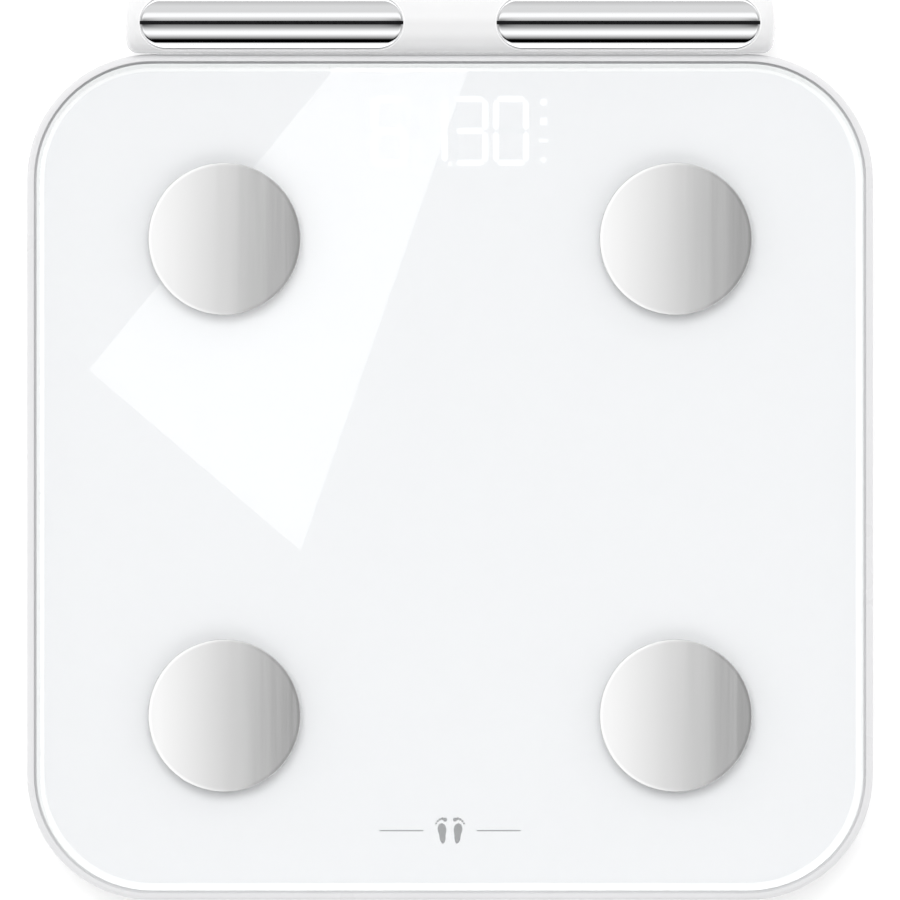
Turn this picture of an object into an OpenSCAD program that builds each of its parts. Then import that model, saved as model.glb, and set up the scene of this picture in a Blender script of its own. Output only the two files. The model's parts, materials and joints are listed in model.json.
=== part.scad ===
// Bathroom scale with a docked hand grip: a glass platform on four load-cell feet, and a grip on a
// retracting cord. Millimetres, +Z up. The origin is on the floor, at the middle of the overall outline.

/* [Platform] */
// Width and depth of the square body
body_w = 300; // [296:1:312]
// Plan radius of the body's corners
corner_r = 44.5; // [42:0.5:48]
// Height of the standing surface above the floor
platform_h = 26; // [26:0.5:28]
// Thickness of the tempered glass
glass_t = 5; // [4:0.5:5]
// Width of the rim between the body's side and the glass
rim_w = 3.4; // [3:0.1:4]
// Width of the shadow gap between the rim and the glass
rim_gap = 0.9; // [0.6:0.1:1.2]

/* [Foot electrodes] */
// Diameter of an electrode disc
electrode_d = 54; // [48:1:60]
// Left to right distance between disc centres
electrode_pitch_x = 160; // [150:1:166]
// Front to back distance between disc centres
electrode_pitch_y = 169; // [160:1:172]
// Height of a disc above the glass
electrode_t = 1; // [0.6:0.1:1.2]

/* [Display] */
// Height of a digit
digit_h = 24.8; // [20:0.2:26]
// Width of a digit
digit_w = 12.8; // [10:0.2:13]
// Thickness of a lit segment
segment_t = 2.2; // [1.6:0.1:2.4]
// Distance of the digits' centre behind the platform's centre
display_v = 122.8; // [121:0.2:124]

/* [Feet] */
// Distance of a foot's axis from the platform's centre lines
foot_offset = 108; // [106:0.5:109]
// Diameter of a rubber foot pad
pad_d = 38; // [32:1:39]

/* [Grip] */
// Length of the hand grip
grip_l = 231; // [226:1:240]
// Diameter of the hand grip
grip_d = 21.4; // [21:0.2:22]
// Length of a chromed grip plate
grip_plate_l = 93.6; // [86:0.4:94]
// Width of a pair of grip plates, seen from above
grip_plate_w = 18.6; // [17:0.2:18.6]
// Distance of a pair of plates' centre from the grip's middle
grip_plate_x = 63.2; // [62.5:0.1:63.5]
// Width of the insulating line between the two plates of a pair
grip_split = 1.3; // [1:0.1:1.6]

/* [Cord reel] */
// Diameter of the cord
cord_d = 2; // [1.8:0.1:2]
// Radius at which the cord leaves the full reel
reel_pitch_r = 26; // [25.5:0.1:26]

/* [Battery bay] */
// Distance of the bay's centre to the right of the platform's centre
bay_x = 70; // [69:0.5:72]
// Diameter of an AAA cell
cell_d = 10.5; // [10.1:0.1:10.5]
// Length of an AAA cell
cell_l = 44.5; // [43.5:0.1:44.5]

/* [Hidden] */
$fn = 64;
clear = 0.3;                          // gap between parts that move or snap together
fit_gap = 0.05;                       // gap of a running pin or a screw in its hole

// Heights, from the floor up
floor_z = 4;                          // underside of the case
wall_t = 2;
floor_top = floor_z + wall_t;
seam_z = 11;                          // joint between the lower and the upper case
glass_z = platform_h - glass_t;
film_t = 0.2;
gasket_t = 0.8;
deck_top = glass_z - film_t - gasket_t;
deck_z = deck_top - wall_t;
rim_top = platform_h - 0.8;
glass_w = body_w - 2 * rim_w;
glass_r = corner_r - rim_w;
rim_wall = rim_w - rim_gap;

// The lower case's rounded edge
edge_r = 7;
edge_inset = 1.2;
floor_inset = edge_inset + edge_r;

// Grip and dock
grip_r = grip_d / 2;
grip_v = body_w / 2 + clear + grip_r;
grip_z = 24.5;
grip_wall = 1.9;
plate_t = 0.9;
plate_proud = 0.15;
trough_r = grip_r + clear;
dock_w = 176;
dock_back = grip_v + grip_r - 0.7;
dock_front = body_w / 2 + clear;
dock_lip_z = 17;
dock_wall = 1.8;
tongue_z = 5.2;
tongue_top = tongue_z + wall_t;
tongue_r = 12;
bend_r = 4;
cord_r = cord_d / 2;
cord_z = 9;
boot_tip_z = grip_z - grip_r + 0.4;
recess_r = 6;
magnet_x = 50;
magnet_z = 9.2;
grip_screw_x = [-97, -32, 32, 97];

// Reel
reel_x = -reel_pitch_r;
reel_v = 20;
flange_r = 32;
reel_wall_r = 33.5;
hub_r = 18;
hub_wall = 1.2;
axle_r = 2;
winding_r = reel_pitch_r - cord_r - clear;
spool_z = floor_top + clear;
flange_t = 0.8;
winding_z = 7.3;
winding_h = 4;
hub_top = 14;
ring_board_t = 1;
reel_lid_z = 16.3;
reel_lid_t = 1.4;
reel_ear_r = 39;
reel_ear_angles = [30, 150, 270];

// Feet and load cells
pad_t = 2;
carrier_d = 40;
carrier_top = 7;
cell_z = 9.6;
cell_t = 2.2;
cell_w = 32;
cell_screw = 12.7;
cup_r = 22;
cup_ceiling = 12.6;
cup_top = 14.2;
corners = [[-1, -1], [1, -1], [-1, 1], [1, 1]];

// Battery bay
bay_w = 48;
bay_l = 58;
bay_wall = 1.2;
bay_inner_l = bay_l - 3.2;
bay_top = deck_z - 0.2;
door_t = 1.6;
hinge_v = -bay_l / 2 + clear + 1.4;
hinge_z = floor_z + 1.4;
hinge_r = 1.4;
hinge_pin_r = 0.8;
battery_z = floor_z + door_t + 0.4 + cell_d / 2;
contact_t = 0.4;

// Boards
board_v = -70;
board_z = 10;
board_t = 1.6;
board_w = 80;
board_l = 44;
display_x = 4;
display_w = 80;
display_l = 32;
display_board_z = deck_z - 3.4;
display_posts = [for (sx = [-1, 1], sy = [-1, 1]) [display_x + sx * 43, display_v + sy * 13]];
digit_pitch = 14.4;
mark_x = 33.2;
button_v = board_v;
button_r = 4.5;

// Case screws: plan positions about the platform's centre
screw_ring = [for (s = [-1, 1], t = [-58, 0, 58]) [s * 134, t],
              for (s = [-1, 1]) [s * 58, -134],
              for (s = [-1, 1]) [s * 66, 130]];
dock_screws = [for (s = [-1, 1]) [s * 74, grip_v]];
boss_r = 3.5;
seat_r = boss_r + 1.2;
screw_r = 1.5;
pad_top = floor_top + 1.6;
dock_seat = tongue_top + 1.4;

// The platform's centre lies in front of the origin, because the grip stands out behind the body.
body_y = (body_w / 2 - grip_v - grip_r) / 2;

// ---------------------------------------------------------------- helpers

// Moves a part from the platform's centre to the model's origin.
module on_platform() translate([0, body_y, 0]) children();

// Moves a part to the middle of the docked grip.
module at_grip() on_platform() translate([0, grip_v, grip_z]) children();

// A square with round corners, about the origin.
module rounded_square(w, l, r) {
    square([w - 2 * r, l], center = true);
    square([w, l - 2 * r], center = true);
    for (sx = [-1, 1], sy = [-1, 1])
        translate([sx * (w / 2 - r), sy * (l / 2 - r)]) circle(r);
}

// A rounded plate that stands on z = 0.
module rounded_plate(w, l, r, h) linear_extrude(h) rounded_square(w, l, r);

// Sweeps a section round a rounded square. Its x runs outwards from the path, and its y is the height.
module ring_sweep(w, r) {
    straight = w - 2 * r;
    for (a = [0:90:270]) rotate(a) {
        translate([w / 2 - r, w / 2 - r, 0])
            rotate_extrude(angle = 90) translate([r, 0]) children();
        translate([w / 2, straight / 2, 0])
            rotate([90, 0, 0]) linear_extrude(straight) children();
    }
}

// The section of a slab's edge, with its outer face at x = 0 and round arrises.
module edge_section(depth, h, r_top, r_bottom) {
    translate([-depth, r_bottom]) square([depth, h - r_top - r_bottom]);
    translate([-depth, h - r_top]) square([depth - r_top, r_top]);
    translate([-depth, 0]) square([depth - r_bottom, r_bottom]);
    translate([-r_top, h - r_top]) circle(r_top);
    translate([-r_bottom, r_bottom]) circle(r_bottom);
}

// A smooth curve through the points p, with n steps between each pair.
function spot(p, i) = p[max(0, min(len(p) - 1, i))];
function blend_four(a, b, c, d, t) =
    0.5 * (2 * b + (c - a) * t + (2 * a - 5 * b + 4 * c - d) * t * t + (3 * b - a - 3 * c + d) * t * t * t);
function smooth(p, n) = concat(
    [for (i = [0:len(p) - 2], k = [0:n - 1])
        blend_four(spot(p, i - 1), spot(p, i), spot(p, i + 1), spot(p, i + 2), k / n)],
    [p[len(p) - 1]]);

// A tube along x, y, z points: a ring of sides at each point, and a flat cap at each end. The tube
// never runs parallel to side.
function unit(v) = v / norm(v);
function tangent(p, i) = unit(p[min(i + 1, len(p) - 1)] - p[max(i - 1, 0)]);
function ring(p, i, r, sides, side) =
    let (t = tangent(p, i), u = unit(cross(t, side)), v = cross(u, t))
    [for (k = [0:sides - 1]) p[i] + r * (cos(k * 360 / sides) * u + sin(k * 360 / sides) * v)];
module tube(p, r, side = [0, 0, 1], sides = 6) {
    n = len(p);
    polyhedron(
        points = [for (i = [0:n - 1]) each ring(p, i, r, sides, side)],
        faces = [
            [for (k = [sides - 1:-1:0]) k],
            for (i = [0:n - 2], k = [0:sides - 1])
                [i * sides + k, i * sides + (k + 1) % sides,
                 (i + 1) * sides + (k + 1) % sides, (i + 1) * sides + k],
            [for (k = [0:sides - 1]) (n - 1) * sides + k]]);
}

// A pan-head screw that points up, with its head's underside at z = 0 and a cross in the head.
module screw(r, l, head_r, head_h) {
    difference() {
        union() {
            translate([0, 0, -head_h]) cylinder(r = head_r, h = head_h);
            cylinder(r = r, h = l);
        }
        for (a = [0, 90]) rotate(a) translate([-head_r * 0.62, -head_r * 0.12, -head_h - 0.1])
            cube([head_r * 1.24, head_r * 0.24, head_h * 0.6]);
    }
}

// ---------------------------------------------------------------- platform

module glass_plate() {
    edge = 6;
    color("white", 0.5) on_platform() translate([0, 0, glass_z]) difference() {
        union() {
            ring_sweep(glass_w, glass_r) edge_section(edge, glass_t, 1.5, 0.5);
            rounded_plate(glass_w - 2 * edge + 1, glass_w - 2 * edge + 1, glass_r - edge + 0.5, glass_t);
        }
        for (c = corners) at_electrode(c) translate([0, 0, -1]) cylinder(r = 3.5, h = glass_t + 2);
    }
}

// Moves a part to the middle of an electrode.
module at_electrode(c)
    translate([c[0] * electrode_pitch_x / 2, c[1] * electrode_pitch_y / 2, 0]) children();

// The white printed film behind the glass, cut through where the display shines.
module backing_film() {
    color("white") on_platform() translate([0, 0, glass_z - film_t]) linear_extrude(film_t) difference() {
        rounded_square(glass_w - 1, glass_w - 1, glass_r - 0.5);
        for (c = corners) at_electrode(c) circle(3.5);
        lit_shapes();
    }
}

module glass_gasket() {
    band = 6;
    color("gainsboro") on_platform() translate([0, 0, deck_top]) linear_extrude(gasket_t) difference() {
        rounded_square(glass_w - 3, glass_w - 3, glass_r - 1.5);
        rounded_square(glass_w - 3 - 2 * band, glass_w - 3 - 2 * band, glass_r - 1.5 - band);
    }
}

// A stamped steel disc with a stud through the glass.
module foot_electrode(c) {
    soft = 0.5;
    color("silver") on_platform() at_electrode(c) {
        translate([0, 0, platform_h]) rotate_extrude() {
            square([electrode_d / 2 - soft, electrode_t]);
            square([electrode_d / 2, electrode_t - soft]);
            translate([electrode_d / 2 - soft, electrode_t - soft]) circle(soft, $fn = 32);
        }
        translate([0, 0, deck_z + 0.2]) cylinder(r = 2, h = platform_h - deck_z);
        translate([0, 0, glass_z]) cylinder(r = 3.3, h = glass_t + 0.1);
    }
}

// A hexagon nut and a solder tag on each electrode's stud.
module electrode_nuts() {
    color("goldenrod") on_platform() for (c = corners) at_electrode(c) {
        translate([0, 0, glass_z - film_t - 2.4]) difference() {
            cylinder(r = 4, h = 1.9, $fn = 6);
            translate([0, 0, -1]) cylinder(r = 2 + fit_gap, h = 4);
        }
        translate([0, 0, glass_z - film_t - 0.45]) difference() {
            union() {
                cylinder(r = 4.5, h = 0.4);
                translate([0, -1.5, 0]) cube([7.2, 3, 0.4]);
            }
            translate([0, 0, -1]) cylinder(r = 2 + fit_gap, h = 2);
        }
    }
}

// ---------------------------------------------------------------- display

// One bar of a digit, lying along x, with pointed ends.
module bar(l) {
    t = segment_t / 2;
    polygon([[-l / 2, 0], [t - l / 2, -t], [l / 2 - t, -t], [l / 2, 0], [l / 2 - t, t], [t - l / 2, t]]);
}

module digit() {
    gap = 0.5;
    across = digit_w - segment_t;
    up = digit_h - segment_t;
    for (k = [-1, 0, 1]) translate([0, k * up / 2]) bar(across - gap);
    for (sx = [-1, 1], sy = [-1, 1])
        translate([sx * across / 2, sy * up / 4]) rotate(90) bar(up / 2 - gap);
}

// Four unit marks in a column: a dot, a square, a dash and a plus.
module unit_marks() {
    step = 6.8;
    size = 2.6;
    translate([0, 1.5 * step]) circle(size / 2);
    translate([0, 0.5 * step]) square(size, center = true);
    translate([0, -0.5 * step]) square([1.3 * size, size / 2], center = true);
    translate([0, -1.5 * step]) {
        square([size, size / 3], center = true);
        square([size / 3, size], center = true);
    }
}

module lit_shapes() translate([0, display_v]) {
    for (i = [0:3]) translate([(i - 1.5) * digit_pitch, 0]) digit();
    translate([0, -digit_h / 2 + 0.6]) circle(0.8, $fn = 24);
    translate([mark_x, 0]) unit_marks();
}

// The places of the light-emitting chips: one behind each bar, the point and each mark.
function chip_places() =
    let (across = digit_w - segment_t, up = digit_h - segment_t)
    [for (i = [0:3]) let (x = (i - 1.5) * digit_pitch)
         each [for (k = [-1, 0, 1]) [x, k * up / 2],
               for (sx = [-1, 1], sy = [-1, 1]) [x + sx * across / 2, sy * up / 4]],
     for (k = [-1.5:1:1.5]) [mark_x, k * 6.8]];

module display_housing() {
    z = display_board_z + board_t;
    color("white") on_platform() translate([0, 0, z]) linear_extrude(glass_z - film_t - z) difference() {
        translate([display_x, display_v]) rounded_square(display_w, display_l, 2);
        lit_shapes();
    }
}

// Cast resin light guides, which fill the housing's wells above the chips.
module display_segments() {
    z = display_board_z + board_t + 0.9;
    color("ivory") on_platform() translate([0, 0, z]) linear_extrude(glass_z - film_t - z) lit_shapes();
}

module display_board() {
    color("darkgreen") on_platform() translate([display_x, display_v, display_board_z])
        linear_extrude(board_t) difference() {
            rounded_square(92, 34, 1.5);
            for (sx = [-1, 1], sy = [-1, 1]) translate([sx * 43, sy * 13]) circle(1.1);
        }
}

module display_leds() {
    color("khaki") on_platform() for (p = chip_places())
        translate([p[0], display_v + p[1], display_board_z + board_t + 0.35])
            cube([0.8, 0.8, 0.7], center = true);
}

// ---------------------------------------------------------------- case

module upper_frame() {
    deck_w = body_w - 2 * rim_wall + 0.4;
    pillar_h = deck_z - cup_top + 0.1;
    post_z = display_board_z + board_t;
    color("whitesmoke") on_platform() difference() {
        union() {
            ring_sweep(body_w, corner_r) frame_section();
            translate([0, 0, deck_z]) rounded_plate(deck_w, deck_w, corner_r - rim_wall + 0.2, wall_t);
            ring_sweep(body_w - 14, corner_r - 7) translate([-1.5, deck_z - 3]) square([1.5, 3.1]);
            for (p = screw_ring) translate([p[0], p[1], pad_top])
                cylinder(r = boss_r, h = deck_z - pad_top + 0.1);
            for (c = corners) translate([c[0] * foot_offset, c[1] * foot_offset, cup_top])
                cup_pillars(pillar_h);
            for (p = display_posts) translate([p[0], p[1], post_z])
                cylinder(r = 2.2, h = deck_z - post_z + 0.1);
        }
        translate([display_x, display_v, deck_z - 1]) rounded_plate(display_w + 1, display_l + 1, 2.5, 4);
        for (c = corners) at_electrode(c) translate([0, 0, deck_z - 1]) cylinder(r = 8.5, h = 4);
        for (p = screw_ring) translate([p[0], p[1], pad_top - 1]) cylinder(r = screw_r + fit_gap, h = 9.4);
        for (p = display_posts) translate([p[0], p[1], display_board_z]) cylinder(r = 0.8 + fit_gap, h = 4.4);
    }
}

// Four curved pillars that bear on a foot's cup.
module cup_pillars(h) difference() {
    cylinder(r = cup_r, h = h);
    translate([0, 0, -1]) cylinder(r = cup_r - 2, h = h + 0.9);
    for (a = [0, 90]) rotate(a) translate([-cup_r - 1, -7, -1]) cube([2 * cup_r + 2, 14, h + 0.9]);
}

// The visible rim and side wall: a soft outer arris above, and a slight draft below.
module frame_section() {
    soft = 2.2;
    translate([-rim_wall, 20]) square([rim_wall, rim_top - soft - 20]);
    translate([-rim_wall, 20]) square([rim_wall - soft, rim_top - 20]);
    intersection() {
        translate([-soft, rim_top - soft]) circle(soft);
        translate([-rim_wall, 20]) square([rim_wall, rim_top - 20]);
    }
    polygon([[-rim_wall, seam_z], [-0.7, seam_z], [0, 20.1], [-rim_wall, 20.1]]);
}

// A quarter round from the seam down to the floor, with a lip that stands inside the upper frame and a
// strip of the floor.
module cover_section() {
    translate([-floor_inset - 1, floor_z]) square([1.1, wall_t]);
    translate([-floor_inset, seam_z]) intersection() {
        difference() {
            circle(edge_r);
            circle(edge_r - 2.2);
        }
        translate([0, -edge_r]) square([edge_r, edge_r]);
    }
    translate([-rim_wall - 0.2 - 1.2, seam_z - 1.5]) square([1.2, 3.5]);
}

module bottom_cover() {
    floor_w = body_w - 2 * floor_inset - 1;
    color("whitesmoke") on_platform() difference() {
        union() {
            ring_sweep(body_w, corner_r) cover_section();
            translate([0, 0, floor_z]) rounded_plate(floor_w, floor_w, corner_r - floor_inset - 0.5, wall_t);
            for (c = corners) translate([c[0] * foot_offset, c[1] * foot_offset, floor_z])
                cylinder(r = cup_r + 2, h = cup_top - floor_z);
            for (p = screw_ring) translate([p[0], p[1], floor_z]) cylinder(r = seat_r, h = pad_top - floor_z);
            for (p = dock_screws) translate([p[0], p[1], tongue_z + 0.8])
                cylinder(r = seat_r, h = dock_seat - tongue_z - 0.8);
            reel_wall();
            translate([bay_x, 0, floor_z])
                rounded_plate(bay_w + 2 * bay_wall, bay_l + 2 * bay_wall, 2, bay_top - floor_z);
            for (p = board_posts()) translate([p[0], p[1], floor_z]) cylinder(r = 2.6, h = board_z - floor_z);
            translate([0, button_v, floor_z]) cylinder(r = button_r + 3.4, h = 3.6);
            dock_tongue();
        }
        for (c = corners) translate([c[0] * foot_offset, c[1] * foot_offset, 0]) foot_cup();
        for (p = screw_ring) translate([p[0], p[1], 0]) screw_hole(floor_top, pad_top);
        for (p = dock_screws) translate([p[0], p[1], 0]) screw_hole(tongue_top, dock_seat);
        reel_well();
        battery_bay();
        for (p = board_posts()) translate([p[0], p[1], floor_top + 0.5]) cylinder(r = 0.8 + fit_gap, h = 6);
        translate([0, button_v, 0]) {
            cylinder(r = button_r + 0.2, h = 20);
            translate([0, 0, floor_top]) cylinder(r = button_r + 1.6, h = 20);
        }
        translate([0, body_w / 2 + 5, cord_z]) rotate([90, 0, 0]) cylinder(r = cord_r + 1, h = 20);
    }
}

// A screw's clearance hole, with a sink for its head up to head_z.
module screw_hole(head_z, top) {
    cylinder(r = screw_r + 0.2, h = top + 1);
    cylinder(r = 3.1, h = head_z);
}

// The round wall of the reel's well, with three ears for the lid's screws. The lid rests on the ears.
module reel_wall() translate([reel_x, reel_v, floor_z]) {
    h = reel_lid_z - floor_z;
    cylinder(r = reel_wall_r + 1.5, h = h - 0.2);
    for (a = reel_ear_angles) rotate(a) {
        translate([reel_ear_r, 0, 0]) cylinder(r = boss_r, h = h);
        translate([reel_wall_r, -1.5, 0]) cube([reel_ear_r - reel_wall_r, 3, h]);
    }
}

// The well that holds a load cell against a ring seat, with a hole for its wires in the roof.
module foot_cup() {
    cylinder(r = cup_r, h = cell_z + cell_t);
    cylinder(r = cup_r - 6, h = cup_ceiling);
    translate([0, 10, cup_ceiling - 1]) cylinder(r = 2, h = 4);
    for (s = [-1, 1]) translate([s * cell_screw, s * cell_screw, cup_ceiling - 2])
        cylinder(r = 1 + fit_gap, h = 3);
}

module reel_well() translate([reel_x, reel_v, 0]) {
    difference() {
        translate([0, 0, floor_top]) cylinder(r = reel_wall_r, h = 20);
        cylinder(r = axle_r + 2.4, h = floor_top + 0.2);
    }
    translate([0, 0, floor_z + 0.6]) cylinder(r = axle_r, h = 10);
    translate([reel_pitch_r - 2.5, 0, floor_top + 0.2]) cube([5, 40, 5.6]);
    for (a = reel_ear_angles) rotate(a) translate([reel_ear_r, 0, floor_top + 2])
        cylinder(r = screw_r - 0.4 + fit_gap, h = 20);
}

function board_posts() = [for (sx = [-1, 1], sy = [-1, 1])
    [sx * (board_w / 2 - 4), board_v + sy * (board_l / 2 - 4)]];

// The bay opens downwards. A ledge at each end stops the door, and its hinge pins turn in the side walls.
module battery_bay() translate([bay_x, 0, 0]) {
    translate([-bay_w / 2, -bay_l / 2, 0]) cube([bay_w, bay_l, floor_z + door_t + 0.2]);
    translate([-bay_w / 2, -bay_inner_l / 2, 0]) cube([bay_w, bay_inner_l, bay_top - 1]);
    translate([0, hinge_v, hinge_z]) rotate([0, 90, 0])
        cylinder(r = hinge_r + clear, h = bay_w, center = true);
    translate([0, hinge_v, hinge_z]) rotate([0, 90, 0])
        cylinder(r = hinge_pin_r + fit_gap, h = bay_w + 2 * bay_wall + 1, center = true);
    translate([0, bay_l / 2, floor_z - 0.4]) rotate([0, 90, 0]) cylinder(r = 2, h = 16, center = true);
}

// The shelf behind the body that carries the dock, chamfered below.
module dock_tongue() {
    chamfer = 0.8;
    front = body_w / 2 - edge_inset - 2;
    module layer(inset, low, high) translate([0, 0, tongue_z + low]) linear_extrude(high - low) {
        back = dock_back - 0.6 - inset;
        translate([-dock_w / 2 + inset, front]) square([dock_w - 2 * inset, back - front - tongue_r + inset]);
        translate([-dock_w / 2 + tongue_r, front]) square([dock_w - 2 * tongue_r, back - front]);
        for (s = [-1, 1]) translate([s * (dock_w / 2 - tongue_r), back - tongue_r + inset])
            circle(tongue_r - inset);
    }
    layer(chamfer, 0, chamfer);
    layer(0, chamfer, wall_t);
}

// Self-tapping screws: the case's, the dock's, the circuit board's and the reel lid's.
module case_screws() color("darkgray") on_platform() {
    small = 0.8;
    for (p = screw_ring) translate([p[0], p[1], floor_top]) screw(screw_r, 9, 2.8, 1.5);
    for (p = dock_screws) translate([p[0], p[1], tongue_top]) screw(screw_r, 4.4, 2.8, 1.2);
    for (p = board_posts()) translate([p[0], p[1], board_z + board_t])
        mirror([0, 0, 1]) screw(small, 4.6, 1.6, 0.9);
    for (p = display_posts) translate([p[0], p[1], display_board_z]) screw(small, 4.2, 1.6, 0.9);
    translate([reel_x, reel_v, reel_lid_z + reel_lid_t - 0.8]) for (a = reel_ear_angles)
        rotate(a) translate([reel_ear_r, 0, 0]) mirror([0, 0, 1]) screw(screw_r - 0.4, 6, 2.1, 0.7);
}

// ---------------------------------------------------------------- electronics

module main_board() color("darkgreen") on_platform() translate([0, board_v, board_z])
    linear_extrude(board_t) difference() {
        rounded_square(board_w, board_l, 1.5);
        for (p = board_posts()) translate([p[0], p[1] - board_v]) circle(0.8 + fit_gap);
    }

// Chips, a radio shield, connectors and capacitors above, and the push switch below.
module board_components() color("dimgray") on_platform() translate([0, board_v, board_z + board_t]) {
    translate([-12, 4, 0]) cube([9, 9, 1]);
    translate([8, 2, 0]) cube([14, 11, 2]);
    translate([-26, 6, 0]) cube([5, 4, 0.9]);
    translate([-24, -9, 0]) cylinder(r = 2.5, h = 2.3);
    translate([-16, -9, 0]) cylinder(r = 2.5, h = 2.3);
    for (x = [-4:3:8]) translate([x, -6, 0]) cube([1.2, 2, 0.6]);
    for (x = [-28, -14, 14, 28]) translate([x - 4, -board_l / 2 + 1, 0]) cube([8, 4, 2.3]);
    for (x = [-20, 0, 20]) translate([x - 5, board_l / 2 - 5, 0]) cube([10, 4, 2.3]);
    translate([0, 0, -board_t - 1.8]) difference() {
        translate([-3, -3, 0]) cube([6, 6, 1.8]);
        translate([0, 0, -1]) cylinder(r = 1.6, h = 2.6);
    }
}

// The unit key: a round cap in the underside, with a flange that keeps it in and a stem to the switch.
module unit_button() color("gainsboro") on_platform() translate([0, button_v, 0]) {
    soft = 0.6;
    rotate_extrude() {
        translate([0, floor_z + 0.2]) square([button_r - soft, 3]);
        translate([0, floor_z + 0.2 + soft]) square([button_r, 3 - soft]);
        translate([button_r - soft, floor_z + 0.2 + soft]) circle(soft, $fn = 24);
        translate([0, floor_top + 0.15]) square([button_r + 1.3, 0.9]);
        translate([0, floor_top + 1]) square([1.4, 2.2]);
    }
}

// ---------------------------------------------------------------- battery bay

function cell_row(i) = bay_x + (i - 1.5) * (cell_d + 0.7);
function cell_way(i) = i % 2 == 0 ? 1 : -1;
cell_end = bay_inner_l / 2 - contact_t - 0.1;

module battery_cells() color("silver") on_platform() for (i = [0:3])
    translate([cell_row(i), cell_way(i) * cell_end, battery_z]) rotate([cell_way(i) * 90, 0, 0]) {
        cylinder(r = 2.6, h = 1.2);
        translate([0, 0, 0.9]) cylinder(r = cell_d / 2 - 0.8, h = 1);
        translate([0, 0, 1.3]) cylinder(r = cell_d / 2, h = cell_l - 1.3);
    }

// Plated contact strips on both end walls, each bridging two cells, with a tab for the leads.
module battery_contacts() color("lightgray") on_platform() for (s = [-1, 1])
    for (k = s > 0 ? [0, 2] : [-1, 1, 3]) {
        lone = k == -1 || k == 3;
        x = (cell_row(max(k, 0)) + cell_row(min(k + 1, 3))) / 2;
        w = lone ? cell_d - 1 : 2 * cell_d - 0.6;
        y = s * (bay_inner_l / 2 - 0.05 - contact_t / 2);
        translate([x, y, battery_z]) cube([w, contact_t, 8], center = true);
    }

// A conical compression spring at each cell's flat end.
module battery_springs() {
    wire_r = 0.3;
    turns = 4;
    l = bay_inner_l - 2 * contact_t - 0.3 - cell_l - 2 * wire_r;
    color("silver") on_platform() for (i = [0:3]) {
        start = bay_inner_l / 2 - contact_t - 0.15 - wire_r;
        tube([for (k = [0:turns * 10]) let (t = k / (turns * 10), a = 36 * k, r = 4 - 1.6 * t)
                [cell_row(i) + r * cos(a), cell_way(i) * (-start + l * t), battery_z + r * sin(a)]],
             wire_r, [0, 1, 0], 5);
    }
}

// The door turns about pins at its front edge, and its tab slides behind the bay's rear wall.
module battery_door() color("whitesmoke") on_platform() translate([bay_x, 0, 0]) {
    w = bay_w - 2 * clear;
    rear = bay_l / 2 - clear;
    translate([-w / 2, hinge_v, floor_z]) cube([w, rear - hinge_v, door_t]);
    translate([0, hinge_v, hinge_z]) rotate([0, 90, 0]) cylinder(r = hinge_r, h = w, center = true);
    translate([0, hinge_v, hinge_z]) rotate([0, 90, 0])
        cylinder(r = hinge_pin_r, h = bay_w + 2 * bay_wall - 0.8, center = true);
    translate([-8, bay_inner_l / 2 - clear - 1, floor_z + 1]) cube([16, 0.8, 1.9]);
    for (y = [-1.5:1:1.5]) translate([0, rear - 8 + 1.6 * y, floor_z + 0.05]) rotate([0, 90, 0])
        cylinder(r = 0.35, h = 14, center = true);
}

// ---------------------------------------------------------------- feet

module at_foot(c) on_platform() translate([c[0] * foot_offset, c[1] * foot_offset, 0]) children();

// A steel plate with a tongue that bends under load, and two coated gauges at the tongue's root.
module load_cell(c) color("silver") at_foot(c) {
    slot = 1.5;
    half = 8;
    translate([0, 0, cell_z]) linear_extrude(cell_t) difference() {
        rounded_square(cell_w, cell_w, 5);
        for (s = [-1, 1]) translate([s * half - slot / 2, -half]) square([slot, 2 * half]);
        translate([-half - slot / 2, half - slot]) square([2 * half + slot, slot]);
        for (s = [-1, 1]) translate([s * cell_screw, s * cell_screw]) circle(1.3);
        circle(1.2);
    }
    for (s = [-1, 1]) translate([s * 4 - 1.8, -half - 1.5, cell_z + cell_t]) cube([3.6, 3.6, 0.5]);
}

// A dished disc that carries the pad, with a boss that bears on the load cell's tongue.
module foot_carrier(c) color("whitesmoke") at_foot(c) difference() {
    soft = 0.8;
    union() {
        rotate_extrude() {
            translate([0, pad_t + soft]) square([carrier_d / 2, 1.8 - soft]);
            translate([0, pad_t]) square([carrier_d / 2 - soft, soft]);
            translate([carrier_d / 2 - soft, pad_t + soft]) circle(soft, $fn = 24);
            translate([carrier_d / 2 - 1.6, pad_t + 1]) square([1.6, carrier_top - pad_t - 1]);
        }
        translate([0, 0, pad_t + 1]) cylinder(r = 4, h = cell_z - pad_t - 1);
        for (a = [0, 60, 120]) rotate(a)
            translate([-carrier_d / 2 + 1, -0.7, pad_t + 1]) cube([carrier_d - 2, 1.4, 3]);
    }
    translate([0, 0, pad_t - 1]) cylinder(r = pad_d / 2 + 0.1, h = 1.4);
    translate([0, 0, pad_t + 2]) cylinder(r = 1, h = 20);
}

// A rubber disc with two shallow grooves in its tread.
module foot_pad(c) color("lightgray") at_foot(c) rotate_extrude() difference() {
    soft = 0.8;
    union() {
        translate([0, soft]) square([pad_d / 2, pad_t + 0.4 - soft]);
        square([pad_d / 2 - soft, 1]);
        translate([pad_d / 2 - soft, soft]) circle(soft, $fn = 24);
    }
    for (r = [9, 14]) translate([r, -1]) square([1.2, 1.6]);
    translate([-2, -1]) square([2, 5]);
}

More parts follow.
